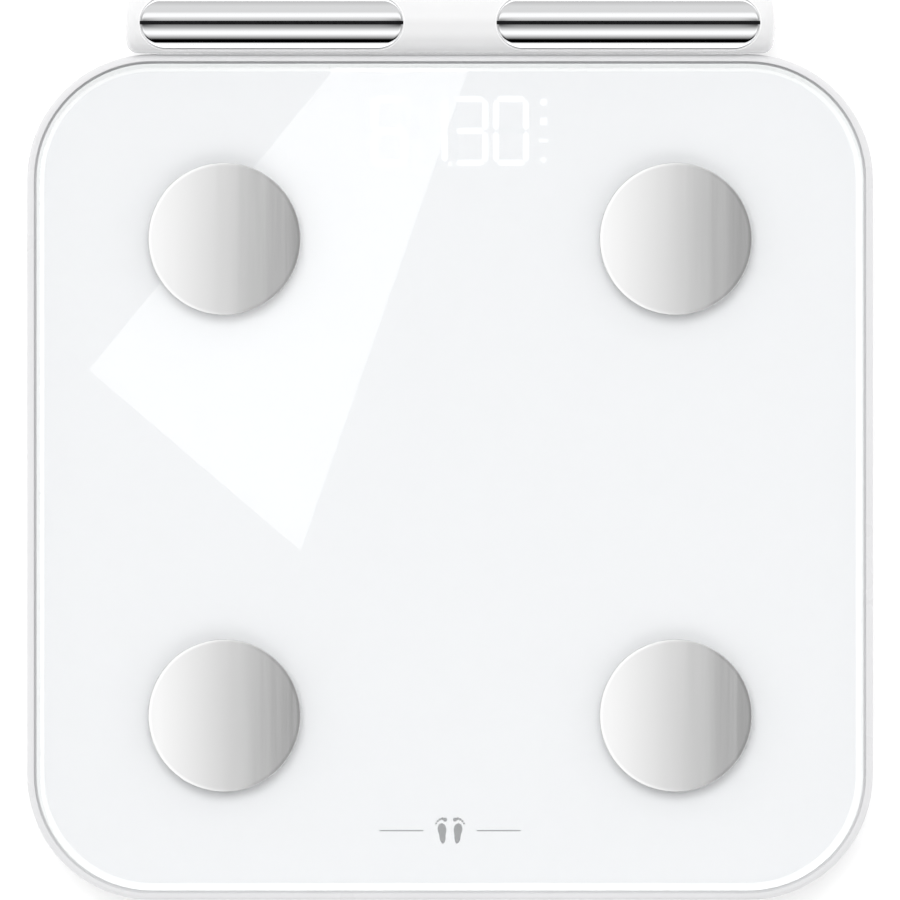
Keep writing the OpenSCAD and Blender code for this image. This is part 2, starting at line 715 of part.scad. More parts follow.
// One screw joins each foot to its load cell's tongue, and two hold the load cell in its cup.
module foot_screws() color("darkgray") for (c = corners) at_foot(c) {
    translate([0, 0, cell_z + cell_t]) mirror([0, 0, 1]) screw(1, 6, 2, 0.6);
    for (s = [-1, 1]) translate([s * cell_screw, s * cell_screw, cell_z]) screw(1, 3.6, 2, 0.9);
}

// ---------------------------------------------------------------- reel

module at_reel() on_platform() translate([reel_x, reel_v, 0]) children();

// The lid of the reel's well. The axle and the brushes are fixed in it.
module reel_cover() color("whitesmoke") at_reel() difference() {
    translate([0, 0, reel_lid_z]) {
        cylinder(r = reel_wall_r + 1.5, h = reel_lid_t);
        for (a = reel_ear_angles) rotate(a) {
            translate([reel_ear_r, 0, 0]) cylinder(r = boss_r, h = reel_lid_t);
            translate([reel_wall_r, -2.5, 0]) cube([reel_ear_r - reel_wall_r, 5, reel_lid_t]);
        }
    }
    translate([0, 0, reel_lid_z - 1]) cylinder(r = axle_r, h = 1.8);
    for (a = reel_ear_angles) rotate(a) translate([reel_ear_r, 0, reel_lid_z - 1]) {
        cylinder(r = screw_r - 0.3, h = 4);
        translate([0, 0, 1.6]) cylinder(r = 2.4, h = 2);
    }
    for (a = [60:60:360]) rotate(a) translate([24, 0, reel_lid_z - 1]) cylinder(r = 5, h = 4);
}

// Two flanges on a hollow hub, which turns on the axle.
module reel_spool() color("white") at_reel() {
    top_web = 1;
    difference() {
        union() {
            translate([0, 0, spool_z]) cylinder(r = flange_r, h = flange_t);
            translate([0, 0, winding_z + winding_h + 0.2]) cylinder(r = flange_r, h = flange_t);
            translate([0, 0, spool_z]) cylinder(r = hub_r, h = hub_top - spool_z);
        }
        translate([0, 0, spool_z + flange_t])
            cylinder(r = hub_r - hub_wall, h = hub_top - spool_z - flange_t - top_web);
        cylinder(r = axle_r + fit_gap, h = 20);
        for (a = [0:60:300]) rotate(a) translate([9, 0, hub_top - 2]) cylinder(r = 2.5, h = 3);
    }
}

// The wound cord, as one ring.
module cord_winding() color("whitesmoke") at_reel() translate([0, 0, winding_z]) difference() {
    cylinder(r = winding_r, h = winding_h);
    translate([0, 0, -1]) cylinder(r = hub_r + fit_gap, h = winding_h + 2);
}

// A flat spiral spring inside the hub, made of half turns of growing radius.
module reel_spring() {
    strip = 0.4;
    pitch = 1.9;
    first = 3.2;
    halves = 13;
    color("steelblue") at_reel() translate([0, 0, spool_z + flange_t + 0.3])
        for (k = [0:halves - 1]) let (r = first + k * pitch / 2)
            translate([k % 2 == 0 ? 0 : pitch / 2, 0, 0]) rotate(k % 2 == 0 ? 0 : 180)
                rotate_extrude(angle = 180) translate([r, 0]) square([strip, 4.6]);
}

module reel_axle() color("silver") at_reel() translate([0, 0, floor_z + 0.6])
    cylinder(r = axle_r, h = reel_lid_z + 0.8 - floor_z - 0.6);

// A ring-shaped circuit board on the hub, with a copper track for each electrode of the grip.
module slip_ring_board() color("darkgreen") at_reel() {
    translate([0, 0, hub_top]) difference() {
        cylinder(r = 17, h = ring_board_t);
        translate([0, 0, -1]) cylinder(r = 3, h = 4);
    }
    for (r = [5:2.2:14]) translate([0, 0, hub_top + ring_board_t]) difference() {
        cylinder(r = r + 1.2, h = 0.1);
        translate([0, 0, -1]) cylinder(r = r, h = 2);
    }
}

// Spring fingers that rub on the copper tracks, on a block under the lid.
module slip_ring_brushes() color("goldenrod") at_reel() {
    track_top = hub_top + ring_board_t + 0.1;
    for (k = [0:4]) let (r = 5.6 + 2.2 * k) rotate(-90) translate([r - 0.4, 0, 0]) {
        translate([0, 0, track_top + 0.1]) cube([0.8, 0.8, reel_lid_z - track_top - 0.1]);
        translate([0, 0, track_top + 0.5]) cube([0.8, 5, 0.3]);
    }
    rotate(-90) translate([4, 4.4, track_top + 0.4]) cube([12, 3, reel_lid_z - track_top - 0.4]);
}

// ---------------------------------------------------------------- cord and dock

// A slippery bush that turns the cord from level to upright.
module cord_guide() color("white") on_platform() translate([0, grip_v, 0]) difference() {
    bend_bore = cord_r + 0.4;
    bore = cord_r + 0.5;
    top = grip_z - trough_r - 0.1;
    union() {
        translate([-6, -6.5, tongue_top]) cube([12, 12, 4.2]);
        translate([0, 0, tongue_top + 4]) cylinder(r = 3.6, h = top - tongue_top - 4);
    }
    translate([0, -bend_r + 0.3, cord_z]) rotate([90, 0, 0]) cylinder(r = bore, h = 10);
    translate([0, -bend_r, cord_z + bend_r]) rotate([0, 90, 0])
        rotate_extrude(angle = 90) translate([bend_r, 0]) circle(bend_bore);
    rotate_extrude() {
        translate([0, cord_z + bend_r - 0.3]) square([bore, 5]);
        polygon([[0, top - 0.6], [bore, top - 0.6], [bore + 0.7, top + 0.1], [0, top + 0.1]]);
    }
}

// The cord from the full reel to the mouth of its guide.
module cord_lead() color("whitesmoke") on_platform() {
    run = grip_v - bend_r - reel_v;
    translate([0, reel_v, cord_z]) rotate([-90, 0, 0]) cylinder(r = cord_r, h = run);
    translate([0, grip_v - bend_r, cord_z + bend_r]) rotate([0, 90, 0])
        rotate_extrude(angle = 90) translate([bend_r, 0]) circle(cord_r);
    translate([0, grip_v, cord_z + bend_r]) cylinder(r = cord_r, h = grip_z - trough_r - cord_z - bend_r);
}

// A hollow trough that the grip lies in.
module dock_cradle() color("whitesmoke") on_platform() difference() {
    dock_plan(0, tongue_top, dock_lip_z + 2);
    difference() {
        dock_plan(dock_wall, tongue_top - 1, dock_lip_z + 2);
        dock_trough(trough_r + dock_wall);
        for (p = dock_screws) translate([p[0], p[1], dock_seat]) cylinder(r = boss_r, h = 20);
        for (s = [-1, 1]) translate([s * magnet_x, grip_v, magnet_z]) cylinder(r = 5.2, h = 20);
    }
    dock_trough(trough_r);
    translate([-dock_w, dock_back - 4, dock_lip_z]) cube([2 * dock_w, 10, 10]);
    for (p = dock_screws) translate([p[0], p[1], tongue_top]) {
        cylinder(r = screw_r + fit_gap, h = 5.2);
        cylinder(r = seat_r + 0.2, h = dock_seat - tongue_top);
    }
    for (s = [-1, 1]) translate([s * magnet_x, grip_v, magnet_z - 1]) cylinder(r = 4.1, h = 4.1);
    translate([0, dock_front + 5, cord_z]) rotate([90, 0, 0]) cylinder(r = cord_r + 1, h = 10);
    translate([0, grip_v, tongue_top]) cylinder(r = 3.8, h = 20);
}

// The dock's outline in plan, drawn in by inset, between two heights.
module dock_plan(inset, low, high) translate([0, 0, low]) linear_extrude(high - low) {
    side = dock_w / 2 - inset;
    front = dock_front + inset;
    corner_x = dock_w / 2 - tongue_r;
    corner_y = dock_back - tongue_r;
    translate([-side, front]) square([2 * side, corner_y - front]);
    translate([-corner_x, front]) square([2 * corner_x, dock_back - inset - front]);
    intersection() {
        for (s = [-1, 1]) translate([s * corner_x, corner_y]) circle(tongue_r - inset);
        translate([-side, corner_y - 1]) square([2 * side, tongue_r + 1]);
    }
}

module dock_trough(r) translate([0, grip_v, grip_z]) rotate([0, 90, 0])
    cylinder(r = r, h = 2 * dock_w, center = true);

module dock_magnets() color("silver") on_platform() for (s = [-1, 1])
    translate([s * magnet_x, grip_v, magnet_z]) cylinder(r = 4, h = 3);

// ---------------------------------------------------------------- grip

// The grip's half section, drawn in by inset: x is the radius, and y runs along the axis.
module grip_profile(inset) {
    dome_r = 30;
    end_r = 4;
    dome_y = grip_l / 2 - dome_r;
    rise = grip_r - end_r;
    lean = asin(rise / (dome_r - end_r));
    end_y = dome_y + (dome_r - end_r) * cos(lean);
    for (m = [0, 1]) mirror([0, m]) {
        square([grip_r - inset, end_y]);
        translate([grip_r - end_r, end_y]) circle(end_r - inset);
        translate([0, dome_y]) intersection() {
            circle(dome_r - inset, $fn = 128);
            polygon([[0, 0], [0, 2 * dome_r], [2 * dome_r * tan(lean), 2 * dome_r]]);
        }
    }
}

module grip_solid(inset) rotate([0, 90, 0]) rotate_extrude() grip_profile(inset);

// The half space above (way = 1) or below (way = -1) the grip's parting plane.
module grip_half(way) translate([-grip_l, -20, way > 0 ? 0 : -20]) cube([2 * grip_l, 40, 20]);

// The outline of a pair of plates, seen from above, grown by extra.
module plate_outline(s, extra) translate([s * grip_plate_x, 0]) rounded_square(
    grip_plate_l + 2 * extra, grip_plate_w + 2 * extra, grip_plate_w / 2 + extra - 0.01);

module grip_tube(r_out, r_in) rotate([0, 90, 0]) difference() {
    cylinder(r = r_out, h = grip_l, center = true, $fn = 128);
    cylinder(r = r_in, h = grip_l + 2, center = true, $fn = 128);
}

plate_lean = 30;
module at_stud(s, way) translate([s * grip_plate_x, 0, 0]) rotate([way * plate_lean, 0, 0]) children();

module handle_upper_shell() color("whitesmoke") at_grip() difference() {
    union() {
        difference() {
            intersection() {
                grip_solid(0);
                grip_half(1);
            }
            grip_solid(grip_wall);
        }
        for (x = grip_screw_x) translate([x, 0, 0]) cylinder(r = 3.2, h = grip_r - grip_wall - 0.3);
    }
    for (s = [-1, 1]) intersection() {
        grip_tube(grip_r + 2, grip_r + plate_proud - plate_t);
        linear_extrude(20) plate_outline(s, 0.15);
    }
    for (s = [-1, 1], way = [-1, 1]) at_stud(s, way) translate([0, 0, 6]) cylinder(r = 1.1, h = 6);
    for (x = grip_screw_x) translate([x, 0, -1]) cylinder(r = 1.2 + fit_gap, h = 6.6);
}

module handle_lower_shell() color("whitesmoke") at_grip() difference() {
    floor_r = grip_r - grip_wall;
    union() {
        difference() {
            intersection() {
                grip_solid(0);
                grip_half(-1);
            }
            grip_solid(grip_wall);
        }
        for (x = grip_screw_x) translate([x, 0, -floor_r - 0.5]) cylinder(r = 3.6, h = floor_r + 0.5);
        intersection() {
            grip_solid(0.3);
            translate([0, 0, -floor_r - 0.5]) cylinder(r = recess_r + 1.2, h = 5.3);
        }
        for (s = [-1, 1], t = [-1, 1])
            translate([s * 16, t * 3.4, -floor_r + 0.6]) cylinder(r = 1.6, h = floor_r - 2.2);
    }
    for (x = grip_screw_x) translate([x, 0, -grip_r - 1]) {
        cylinder(r = 1.4, h = 20);
        cylinder(r = 2.7, h = 4.2);
    }
    translate([0, 0, -grip_r - 1]) cylinder(r = recess_r, h = 1 + grip_r - 5.5);
    translate([0, 0, -7]) cylinder(r = 2.3, h = 6);
}

// One of the two chromed plates of a hand: the front one (way = -1) or the rear one (way = 1).
module grip_plate(s, way) color("silver") at_grip() {
    intersection() {
        grip_tube(grip_r + plate_proud, grip_r + plate_proud - plate_t);
        linear_extrude(20) intersection() {
            plate_outline(s, 0);
            translate([-grip_l, way > 0 ? grip_split / 2 : -20 - grip_split / 2]) square([2 * grip_l, 20]);
        }
    }
    at_stud(s, -way) translate([0, 0, 7.6]) cylinder(r = 1, h = 2.6);
}

module grip_insulators() color("black") at_grip() for (s = [-1, 1]) intersection() {
    grip_tube(grip_r - 0.1, grip_r + plate_proud - plate_t);
    linear_extrude(20) intersection() {
        plate_outline(s, 0);
        square([2 * grip_l, grip_split - 2 * fit_gap], center = true);
    }
}

module handle_screws() color("darkgray") at_grip() for (x = grip_screw_x)
    translate([x, 0, -grip_r + 3.2]) screw(1.2, 12, 2.4, 1.3);

module handle_board() color("darkgreen") at_grip() translate([0, 0, -1.6]) {
    linear_extrude(1.2) difference() {
        rounded_square(44, 13, 1.5);
        for (s = [-1, 1]) translate([s * 20, 0]) circle(0.9);
    }
    translate([-4, -3, 1.2]) cube([8, 6, 1.2]);
    for (s = [-1, 1]) translate([s * 14 - 3, -3, 1.2]) cube([6, 6, 1.6]);
}

// A lead from the board to the stud of each plate.
module handle_wires() color("white") at_grip() for (s = [-1, 1], way = [-1, 1])
    tube(smooth([[s * 17.2, way * 2, 0.6], [s * 24, way * 4.6, 2.6], [s * 40, way * 5.4, 3.6],
                 [s * 55, way * 4.4, 5.2], [s * (grip_plate_x - 0.6), way * 3.4, 6]], 4), 0.35);

// Steel strips in the grip, which the dock's magnets hold.
module handle_keepers() color("gray") at_grip() for (s = [-1, 1])
    translate([s * magnet_x - 6, -2.8, -8.2]) cube([12, 5.6, 1.2]);

// A tapered rubber sleeve where the cord enters the grip.
module cord_boot() color("lightgray") at_grip() difference() {
    union() {
        translate([0, 0, -grip_r + 0.4]) cylinder(r1 = 1.7, r2 = 3.4, h = grip_r - 0.4 - 5.5);
        translate([0, 0, -5.6]) cylinder(r = 2.2, h = 2.2);
        translate([0, 0, -3.5]) cylinder(r = 3.6, h = 1);
    }
    translate([0, 0, -grip_r]) cylinder(r = cord_r + 0.02, h = 20);
}

// The end of the cord that is fixed in the grip.
module cord_stub() color("whitesmoke") at_grip() translate([0, 0, -grip_r])
    cylinder(r = cord_r, h = grip_r - 1.6);

// ---------------------------------------------------------------- wiring

// Leads from the load cells, electrodes, battery and reel to the circuit board, and the display's ribbon.
lead_z = 15.6;
module wiring() color("lightblue") on_platform() {
    steps = 4;
    pad_z = board_z + board_t + 0.7;
    for (s = [-1, 1]) {
        tube(smooth([[s * foot_offset, -98, lead_z - 0.6], [s * 100, -103, lead_z], [s * 84, -104, lead_z],
                     [s * 50, -99, lead_z - 1], [s * 28, -93.4, 13.2]], steps), 0.6);
        tube(smooth([[s * foot_offset, 118, lead_z - 0.6], [s * 105, 110, lead_z],
                     [s * 104.5, 86, lead_z], [s * 101.5, 62, lead_z], [s * 101, 0, lead_z],
                     [s * 101, -38, lead_z],
                     [s * 70, -60, lead_z], [s * 34, -62, pad_z]], steps), 0.6);
        tube(smooth([[s * 80 + 6, -84.5, 19.9], [s * 80 + 5, -80, 17], [s * 60, -74, lead_z],
                     [s * 34, -70, pad_z]], steps), 0.4);
        tube(smooth([[s * 80 + 6, 84.5, 19.9], [s * 80 + 5, 79.5, 17], [s * 97.5, 60, lead_z - 1.4],
                     [s * 97.5, 0, lead_z - 1.4], [s * 97, -30, lead_z - 1.4], [s * 68, -52, lead_z - 1.6],
                     [s * 34, -57, pad_z]], steps), 0.4);
        tube(smooth([[bay_x + s * 16, -bay_l / 2 - bay_wall - 0.6, 12], [bay_x - 8 + s * 12, -38, 12.4],
                     [40 + s * 5, -43.5 - s * 1.2, 12.6], [12 + s, -45.5 - s * 0.8, 12.9],
                     [s * 1.5, -48.2, 12.9]], steps), 0.5);
    }
    tube(smooth([[reel_x + 7, -17.2, 13.4], [-20, -26, 13.4], [-20, -38, 13.2], [-20, -48.4, 13]], steps),
         0.8);
    translate([16, -50, display_board_z - 0.4]) cube([8, display_v + 38, 0.3]);
}

glass_plate();
backing_film();
glass_gasket();
foot_electrode(corners[0]);  // foot_electrode_front_left
foot_electrode(corners[1]);  // foot_electrode_front_right
foot_electrode(corners[2]);  // foot_electrode_rear_left
foot_electrode(corners[3]);  // foot_electrode_rear_right
electrode_nuts();
display_housing();
display_segments();
display_board();
display_leds();
upper_frame();
bottom_cover();
case_screws();
main_board();
board_components();
unit_button();
battery_cells();
battery_contacts();
battery_springs();
battery_door();
load_cell(corners[0]);  // load_cell_front_left
load_cell(corners[1]);  // load_cell_front_right
load_cell(corners[2]);  // load_cell_rear_left
load_cell(corners[3]);  // load_cell_rear_right
foot_carrier(corners[0]);  // foot_carrier_front_left
foot_carrier(corners[1]);  // foot_carrier_front_right
foot_carrier(corners[2]);  // foot_carrier_rear_left
foot_carrier(corners[3]);  // foot_carrier_rear_right
foot_pad(corners[0]);  // foot_pad_front_left
foot_pad(corners[1]);  // foot_pad_front_right
foot_pad(corners[2]);  // foot_pad_rear_left
foot_pad(corners[3]);  // foot_pad_rear_right
foot_screws();
reel_cover();
reel_spool();
cord_winding();
reel_spring();
reel_axle();
slip_ring_board();
slip_ring_brushes();
cord_guide();
cord_lead();
dock_cradle();
dock_magnets();
handle_upper_shell();
handle_lower_shell();
grip_plate(-1, -1);  // grip_plate_left_front
grip_plate(-1, 1);  // grip_plate_left_rear
grip_plate(1, -1);  // grip_plate_right_front
grip_plate(1, 1);  // grip_plate_right_rear
grip_insulators();
handle_screws();
handle_board();
handle_wires();
handle_keepers();
cord_boot();
cord_stub();
wiring();
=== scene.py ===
"""A glass bathroom scale with a docked hand grip. Lengths are metres, and the CAD frame gives every place."""

import json
import math

import bmesh
import bpy
import numpy as np
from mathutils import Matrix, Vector

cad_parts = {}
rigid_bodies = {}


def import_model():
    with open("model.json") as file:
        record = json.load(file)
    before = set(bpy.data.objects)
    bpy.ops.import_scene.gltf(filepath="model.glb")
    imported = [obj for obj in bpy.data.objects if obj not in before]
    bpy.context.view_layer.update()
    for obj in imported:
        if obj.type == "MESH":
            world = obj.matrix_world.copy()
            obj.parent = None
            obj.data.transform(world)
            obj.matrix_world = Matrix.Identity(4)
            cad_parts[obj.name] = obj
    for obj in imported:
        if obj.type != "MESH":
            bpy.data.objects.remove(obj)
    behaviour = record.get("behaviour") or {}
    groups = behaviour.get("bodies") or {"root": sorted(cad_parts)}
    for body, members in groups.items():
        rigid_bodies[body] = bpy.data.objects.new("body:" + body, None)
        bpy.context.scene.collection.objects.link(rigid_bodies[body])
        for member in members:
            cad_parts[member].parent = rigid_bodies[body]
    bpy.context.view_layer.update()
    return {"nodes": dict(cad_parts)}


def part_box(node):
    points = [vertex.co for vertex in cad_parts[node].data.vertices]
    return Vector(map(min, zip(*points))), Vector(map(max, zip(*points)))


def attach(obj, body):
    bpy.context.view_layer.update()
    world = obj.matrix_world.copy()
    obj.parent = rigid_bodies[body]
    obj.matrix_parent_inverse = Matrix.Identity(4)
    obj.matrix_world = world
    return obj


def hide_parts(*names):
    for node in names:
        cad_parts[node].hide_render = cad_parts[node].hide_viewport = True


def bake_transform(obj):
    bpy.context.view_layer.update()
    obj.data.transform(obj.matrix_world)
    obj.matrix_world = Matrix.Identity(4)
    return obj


MM = 0.001

for leftover in list(bpy.data.objects):
    bpy.data.objects.remove(leftover)

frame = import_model()
nodes = frame["nodes"]
scene = bpy.context.scene

# ------------------------------------------------------------------ places, read from the frame

glass_low, glass_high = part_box("glass_plate")
CENTRE_Y = (glass_low.y + glass_high.y) / 2
GLASS_TOP = glass_high.z
FILM_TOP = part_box("backing_film")[1].z
shell_low, shell_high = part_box("handle_upper_shell")
GRIP_Y = (shell_low.y + shell_high.y) / 2
GRIP_Z = shell_low.z
GRIP_R = shell_high.z - shell_low.z
DISCS = ["front_left", "front_right", "rear_left", "rear_right"]

# ------------------------------------------------------------------ camera

VIEW_WIDTH = 319 * MM  # what the frame shows across, at the glass
LENS, SENSOR = 1200.0, 36.0
AIM = (0.0, -1.2 * MM)

camera_data = bpy.data.cameras.new("camera")
camera_data.lens = LENS
camera_data.sensor_width = SENSOR
camera_data.clip_end = 100
camera = bpy.data.objects.new("camera", camera_data)
camera.location = (AIM[0], AIM[1], GLASS_TOP + VIEW_WIDTH * LENS / SENSOR)
scene.collection.objects.link(camera)
scene.camera = camera

# ------------------------------------------------------------------ node helpers


def bare_tree(block):
    """The node tree of a material or a world, emptied."""
    block.use_nodes = True
    block.node_tree.nodes.clear()
    return block.node_tree


def add_node(tree, kind, **values):
    made = tree.nodes.new(kind)
    for key, value in values.items():
        setattr(made, key, value)
    return made


def add_range(tree, value, low, high, out_low, out_high, **values):
    """The socket of a Map Range node that takes low..high to out_low..out_high."""
    made = add_node(tree, "ShaderNodeMapRange", **values)
    numbers = (low, high, out_low, out_high)
    for k, number in zip(("From Min", "From Max", "To Min", "To Max"), numbers):
        made.inputs[k].default_value = number
    tree.links.new(value, made.inputs["Value"])
    return made.outputs["Result"]


class Shader:
    """A material with one Principled node, and short ways to add procedural detail to it."""

    def __init__(self, name, colour, roughness, metallic=0.0, **sockets):
        self.material = bpy.data.materials.new(name)
        self.tree = bare_tree(self.material)
        self.output = self.node("ShaderNodeOutputMaterial")
        self.bsdf = self.node("ShaderNodeBsdfPrincipled")
        self.link(self.bsdf.outputs["BSDF"], self.output.inputs["Surface"])
        self.colour, self.roughness = colour, roughness
        self.bsdf.inputs["Base Color"].default_value = (*colour, 1)
        self.bsdf.inputs["Roughness"].default_value = roughness
        self.bsdf.inputs["Metallic"].default_value = metallic
        self.bsdf.inputs["Emission Color"].default_value = (1, 1, 1, 1)
        for socket, value in sockets.items():
            self.bsdf.inputs[socket.replace("_", " ")].default_value = value

    def node(self, kind, **values):
        return add_node(self.tree, kind, **values)

    def link(self, a, b):
        self.tree.links.new(a, b)

    def place(self, stretch=(1, 1, 1)):
        """Object coordinates, in metres, stretched by a factor on each axis."""
        where = self.node("ShaderNodeTexCoord").outputs["Object"]
        if stretch == (1, 1, 1):
            return where
        mapping = self.node("ShaderNodeMapping")
        mapping.inputs["Scale"].default_value = stretch
        self.link(where, mapping.inputs["Vector"])
        return mapping.outputs["Vector"]

    def noise(self, scale, detail=3.0, stretch=(1, 1, 1), roughness=0.55):
        made = self.node("ShaderNodeTexNoise")
        made.inputs["Scale"].default_value = scale
        made.inputs["Detail"].default_value = detail
        made.inputs["Roughness"].default_value = roughness
        self.link(self.place(stretch), made.inputs["Vector"])
        return made.outputs["Fac"]

    def voronoi(self, scale, feature="F1"):
        made = self.node("ShaderNodeTexVoronoi", feature=feature)
        made.inputs["Scale"].default_value = scale
        self.link(self.place(), made.inputs["Vector"])
        return made.outputs["Distance"]

    def remap(self, value, low, high, out_low, out_high):
        return add_range(self.tree, value, low, high, out_low, out_high)

    def mix(self, share, a, b):
        """A colour between a and b, each a colour or a socket."""
        made = self.node("ShaderNodeMix", data_type="RGBA")
        self.link(share, made.inputs["Factor"])
        for k, side in ((6, a), (7, b)):
            if isinstance(side, tuple):
                made.inputs[k].default_value = (*side, 1)
            else:
                self.link(side, made.inputs[k])
        return made.outputs[2]

    def mottle(self, pattern, amount, low=0.3, high=0.7):
        """Colour that wanders by a share of itself."""
        dark = tuple(c * (1 - amount) for c in self.colour)
        light = tuple(min(1.0, c * (1 + amount)) for c in self.colour)
        share = self.remap(pattern, low, high, 0, 1)
        self.link(self.mix(share, dark, light), self.bsdf.inputs["Base Color"])
        return self

    def wear(self, pattern, spread, low=0.3, high=0.7):
        """Roughness that wanders by spread either way."""
        ends = (self.roughness - spread, self.roughness + spread)
        self.link(self.remap(pattern, low, high, *ends), self.bsdf.inputs["Roughness"])
        return self

    def bump(self, pattern, strength, distance):
        made = self.node("ShaderNodeBump")
        made.inputs["Strength"].default_value = strength
        made.inputs["Distance"].default_value = distance
        self.link(pattern, made.inputs["Height"])
        self.link(made.outputs["Normal"], self.bsdf.inputs["Normal"])
        return self


def moulded(name, colour, roughness, grain, depth, spread=0.05, **sockets):
    """Injection-moulded plastic: a fine eroded texture, and slow changes of gloss and tone."""
    shader = Shader(name, colour, roughness, **sockets)
    shader.wear(shader.noise(60, 2), spread)
    shader.mottle(shader.noise(35, 2), 0.012)
    shader.bump(shader.noise(grain, 2), 0.5, depth)
    return shader.material


def drawn_metal(name, colour, roughness, stretch):
    """Metal with fine lines along the axis that stretch shrinks."""
    shader = Shader(name, colour, roughness, 1.0)
    lines = shader.noise(400, 4, stretch, 0.65)
    shader.wear(lines, 0.06)
    shader.mottle(lines, 0.03)
    shader.bump(lines, 0.4, 2e-6)
    return shader.material


def plated(name, colour, roughness, scale=300, spread=0.05, amount=0.05):
    """Plated or bare metal with small stains."""
    shader = Shader(name, colour, roughness, 1.0)
    shader.wear(shader.noise(scale, 3), spread)
    shader.mottle(shader.noise(scale / 5, 3), amount)
    shader.bump(shader.noise(scale * 6, 2), 0.3, 1e-6)
    return shader.material


# ------------------------------------------------------------------ materials


def clear_glass():
    """Tempered glass. Light for what lies behind it passes straight through."""
    shader = Shader("tempered_glass", (0.985, 0.995, 0.99), 0.0, Transmission_Weight=1.0, IOR=1.5)
    shader.bump(shader.noise(9, 1), 0.02, 1e-5)
    through = shader.node("ShaderNodeBsdfTransparent")
    through.inputs["Color"].default_value = (0.97, 0.975, 0.975, 1)
    path = shader.node("ShaderNodeLightPath")
    either = shader.node("ShaderNodeMath", operation="MAXIMUM")
    shader.link(path.outputs["Is Shadow Ray"], either.inputs[0])
    shader.link(path.outputs["Is Diffuse Ray"], either.inputs[1])
    blend = shader.node("ShaderNodeMixShader")
    shader.link(either.outputs[0], blend.inputs["Fac"])
    shader.link(shader.bsdf.outputs["BSDF"], blend.inputs[1])
    shader.link(through.outputs["BSDF"], blend.inputs[2])
    shader.link(blend.outputs["Shader"], shader.output.inputs["Surface"])
    return shader.material


def print_white():
    """The white print on the glass's back."""
    shader = Shader("white_backprint", (0.86, 0.855, 0.875), 0.6)
    shader.mottle(shader.noise(900, 3), 0.004)
    shader.wear(shader.noise(200, 2), 0.05)
    shader.bump(shader.noise(3000, 2), 0.1, 1e-6)
    return shader.material


def disc_steel():
    """Satin steel with upright brush lines."""
    shader = Shader("satin_steel", (0.80, 0.80, 0.80), 0.17, 1.0)
    lines = shader.noise(260, 5, (1, 0.02, 1), 0.7)
    shader.wear(lines, 0.035)
    shader.mottle(lines, 0.012)
    shader.bump(lines, 0.25, 1.5e-6)
    return shader.material


def board():
    """Green solder mask over traces, which show as low, paler ridges."""
    shader = Shader("solder_mask", (0.015, 0.12, 0.045), 0.35, Coat_Weight=0.3)
    cells = shader.voronoi(160, "DISTANCE_TO_EDGE")
    trace = shader.remap(cells, 0.03, 0.07, 1, 0)
    green = shader.mix(trace, (0.012, 0.10, 0.04), (0.03, 0.22, 0.09))
    shader.link(green, shader.bsdf.inputs["Base Color"])
    shader.wear(shader.noise(300, 2), 0.06)
    shader.bump(trace, 0.4, 3e-5)
    return shader.material


SLEEVE_PERIOD, SLEEVE_BAND = 27 * MM, (19.5 * MM, 20.0 * MM)


def jacket():
    """The cells' printed sleeves: dark, with a paler end band."""
    shader = Shader("printed_sleeve", (0.02, 0.05, 0.09), 0.28, Coat_Weight=0.4)
    axis = shader.node("ShaderNodeSeparateXYZ")
    shader.link(shader.place(), axis.inputs["Vector"])
    band = shader.node("ShaderNodeMath", operation="PINGPONG")
    shader.link(axis.outputs["Y"], band.inputs[0])
    band.inputs[1].default_value = SLEEVE_PERIOD
    share = shader.remap(band.outputs[0], *SLEEVE_BAND, 0, 1)
    print_colour = shader.mix(share, (0.02, 0.05, 0.09), (0.55, 0.33, 0.16))
    shader.link(print_colour, shader.bsdf.inputs["Base Color"])
    shader.wear(shader.noise(250, 2), 0.05)
    shader.bump(shader.noise(1200, 2), 0.2, 3e-6)
    return shader.material


def rubber():
    shader = Shader("foot_rubber", (0.045, 0.046, 0.048), 0.78)
    shader.wear(shader.noise(120, 3), 0.08)
    shader.mottle(shader.noise(90, 3), 0.25)
    shader.bump(shader.noise(2600, 3), 0.6, 4e-5)
    return shader.material


def foam():
    shader = Shader("white_foam", (0.72, 0.72, 0.70), 0.9)
    cells = shader.voronoi(1800)
    shader.mottle(cells, 0.08, 0.1, 0.6)
    shader.wear(cells, 0.05, 0.1, 0.6)
    shader.bump(cells, 0.7, 6e-5)
    return shader.material


def chrome():
    shader = Shader("bright_chrome", (0.94, 0.945, 0.955), 0.035, 1.0)
    shader.wear(shader.noise(70, 2), 0.012)
    shader.mottle(shader.noise(40, 2), 0.004)
    shader.bump(shader.noise(25, 1), 0.05, 2e-6)
    return shader.material


def black_coat(name, roughness=0.45, **sockets):
    shader = Shader(name, (0.008, 0.008, 0.009), roughness, **sockets)
    shader.wear(shader.noise(400, 2), 0.08)
    shader.mottle(shader.noise(300, 2), 0.3)
    shader.bump(shader.noise(2500, 2), 0.4, 1e-5)
    return shader.material


def resin(name, colour, glow):
    """Milky casting resin in the display's wells, lit from below by glow."""
    shader = Shader(name, colour, 0.3, Emission_Strength=glow)
    shader.wear(shader.noise(500, 2), 0.05)
    shader.mottle(shader.noise(600, 2), 0.01)
    shader.bump(shader.noise(1500, 2), 0.2, 5e-6)
    return shader.material


def pvc(name, colour):
    shader = Shader(name, colour, 0.42)
    shader.wear(shader.noise(500, 2), 0.06)
    shader.mottle(shader.noise(120, 2), 0.03)
    shader.bump(shader.noise(1800, 2, (1, 1, 0.2)), 0.4, 1e-5)
    return shader.material


def ink(name, colour):
    shader = Shader(name, colour, 0.55)
    shader.mottle(shader.noise(1500, 3), 0.05)
    shader.wear(shader.noise(700, 2), 0.05)
    shader.bump(shader.noise(4000, 2), 0.2, 2e-6)
    return shader.material


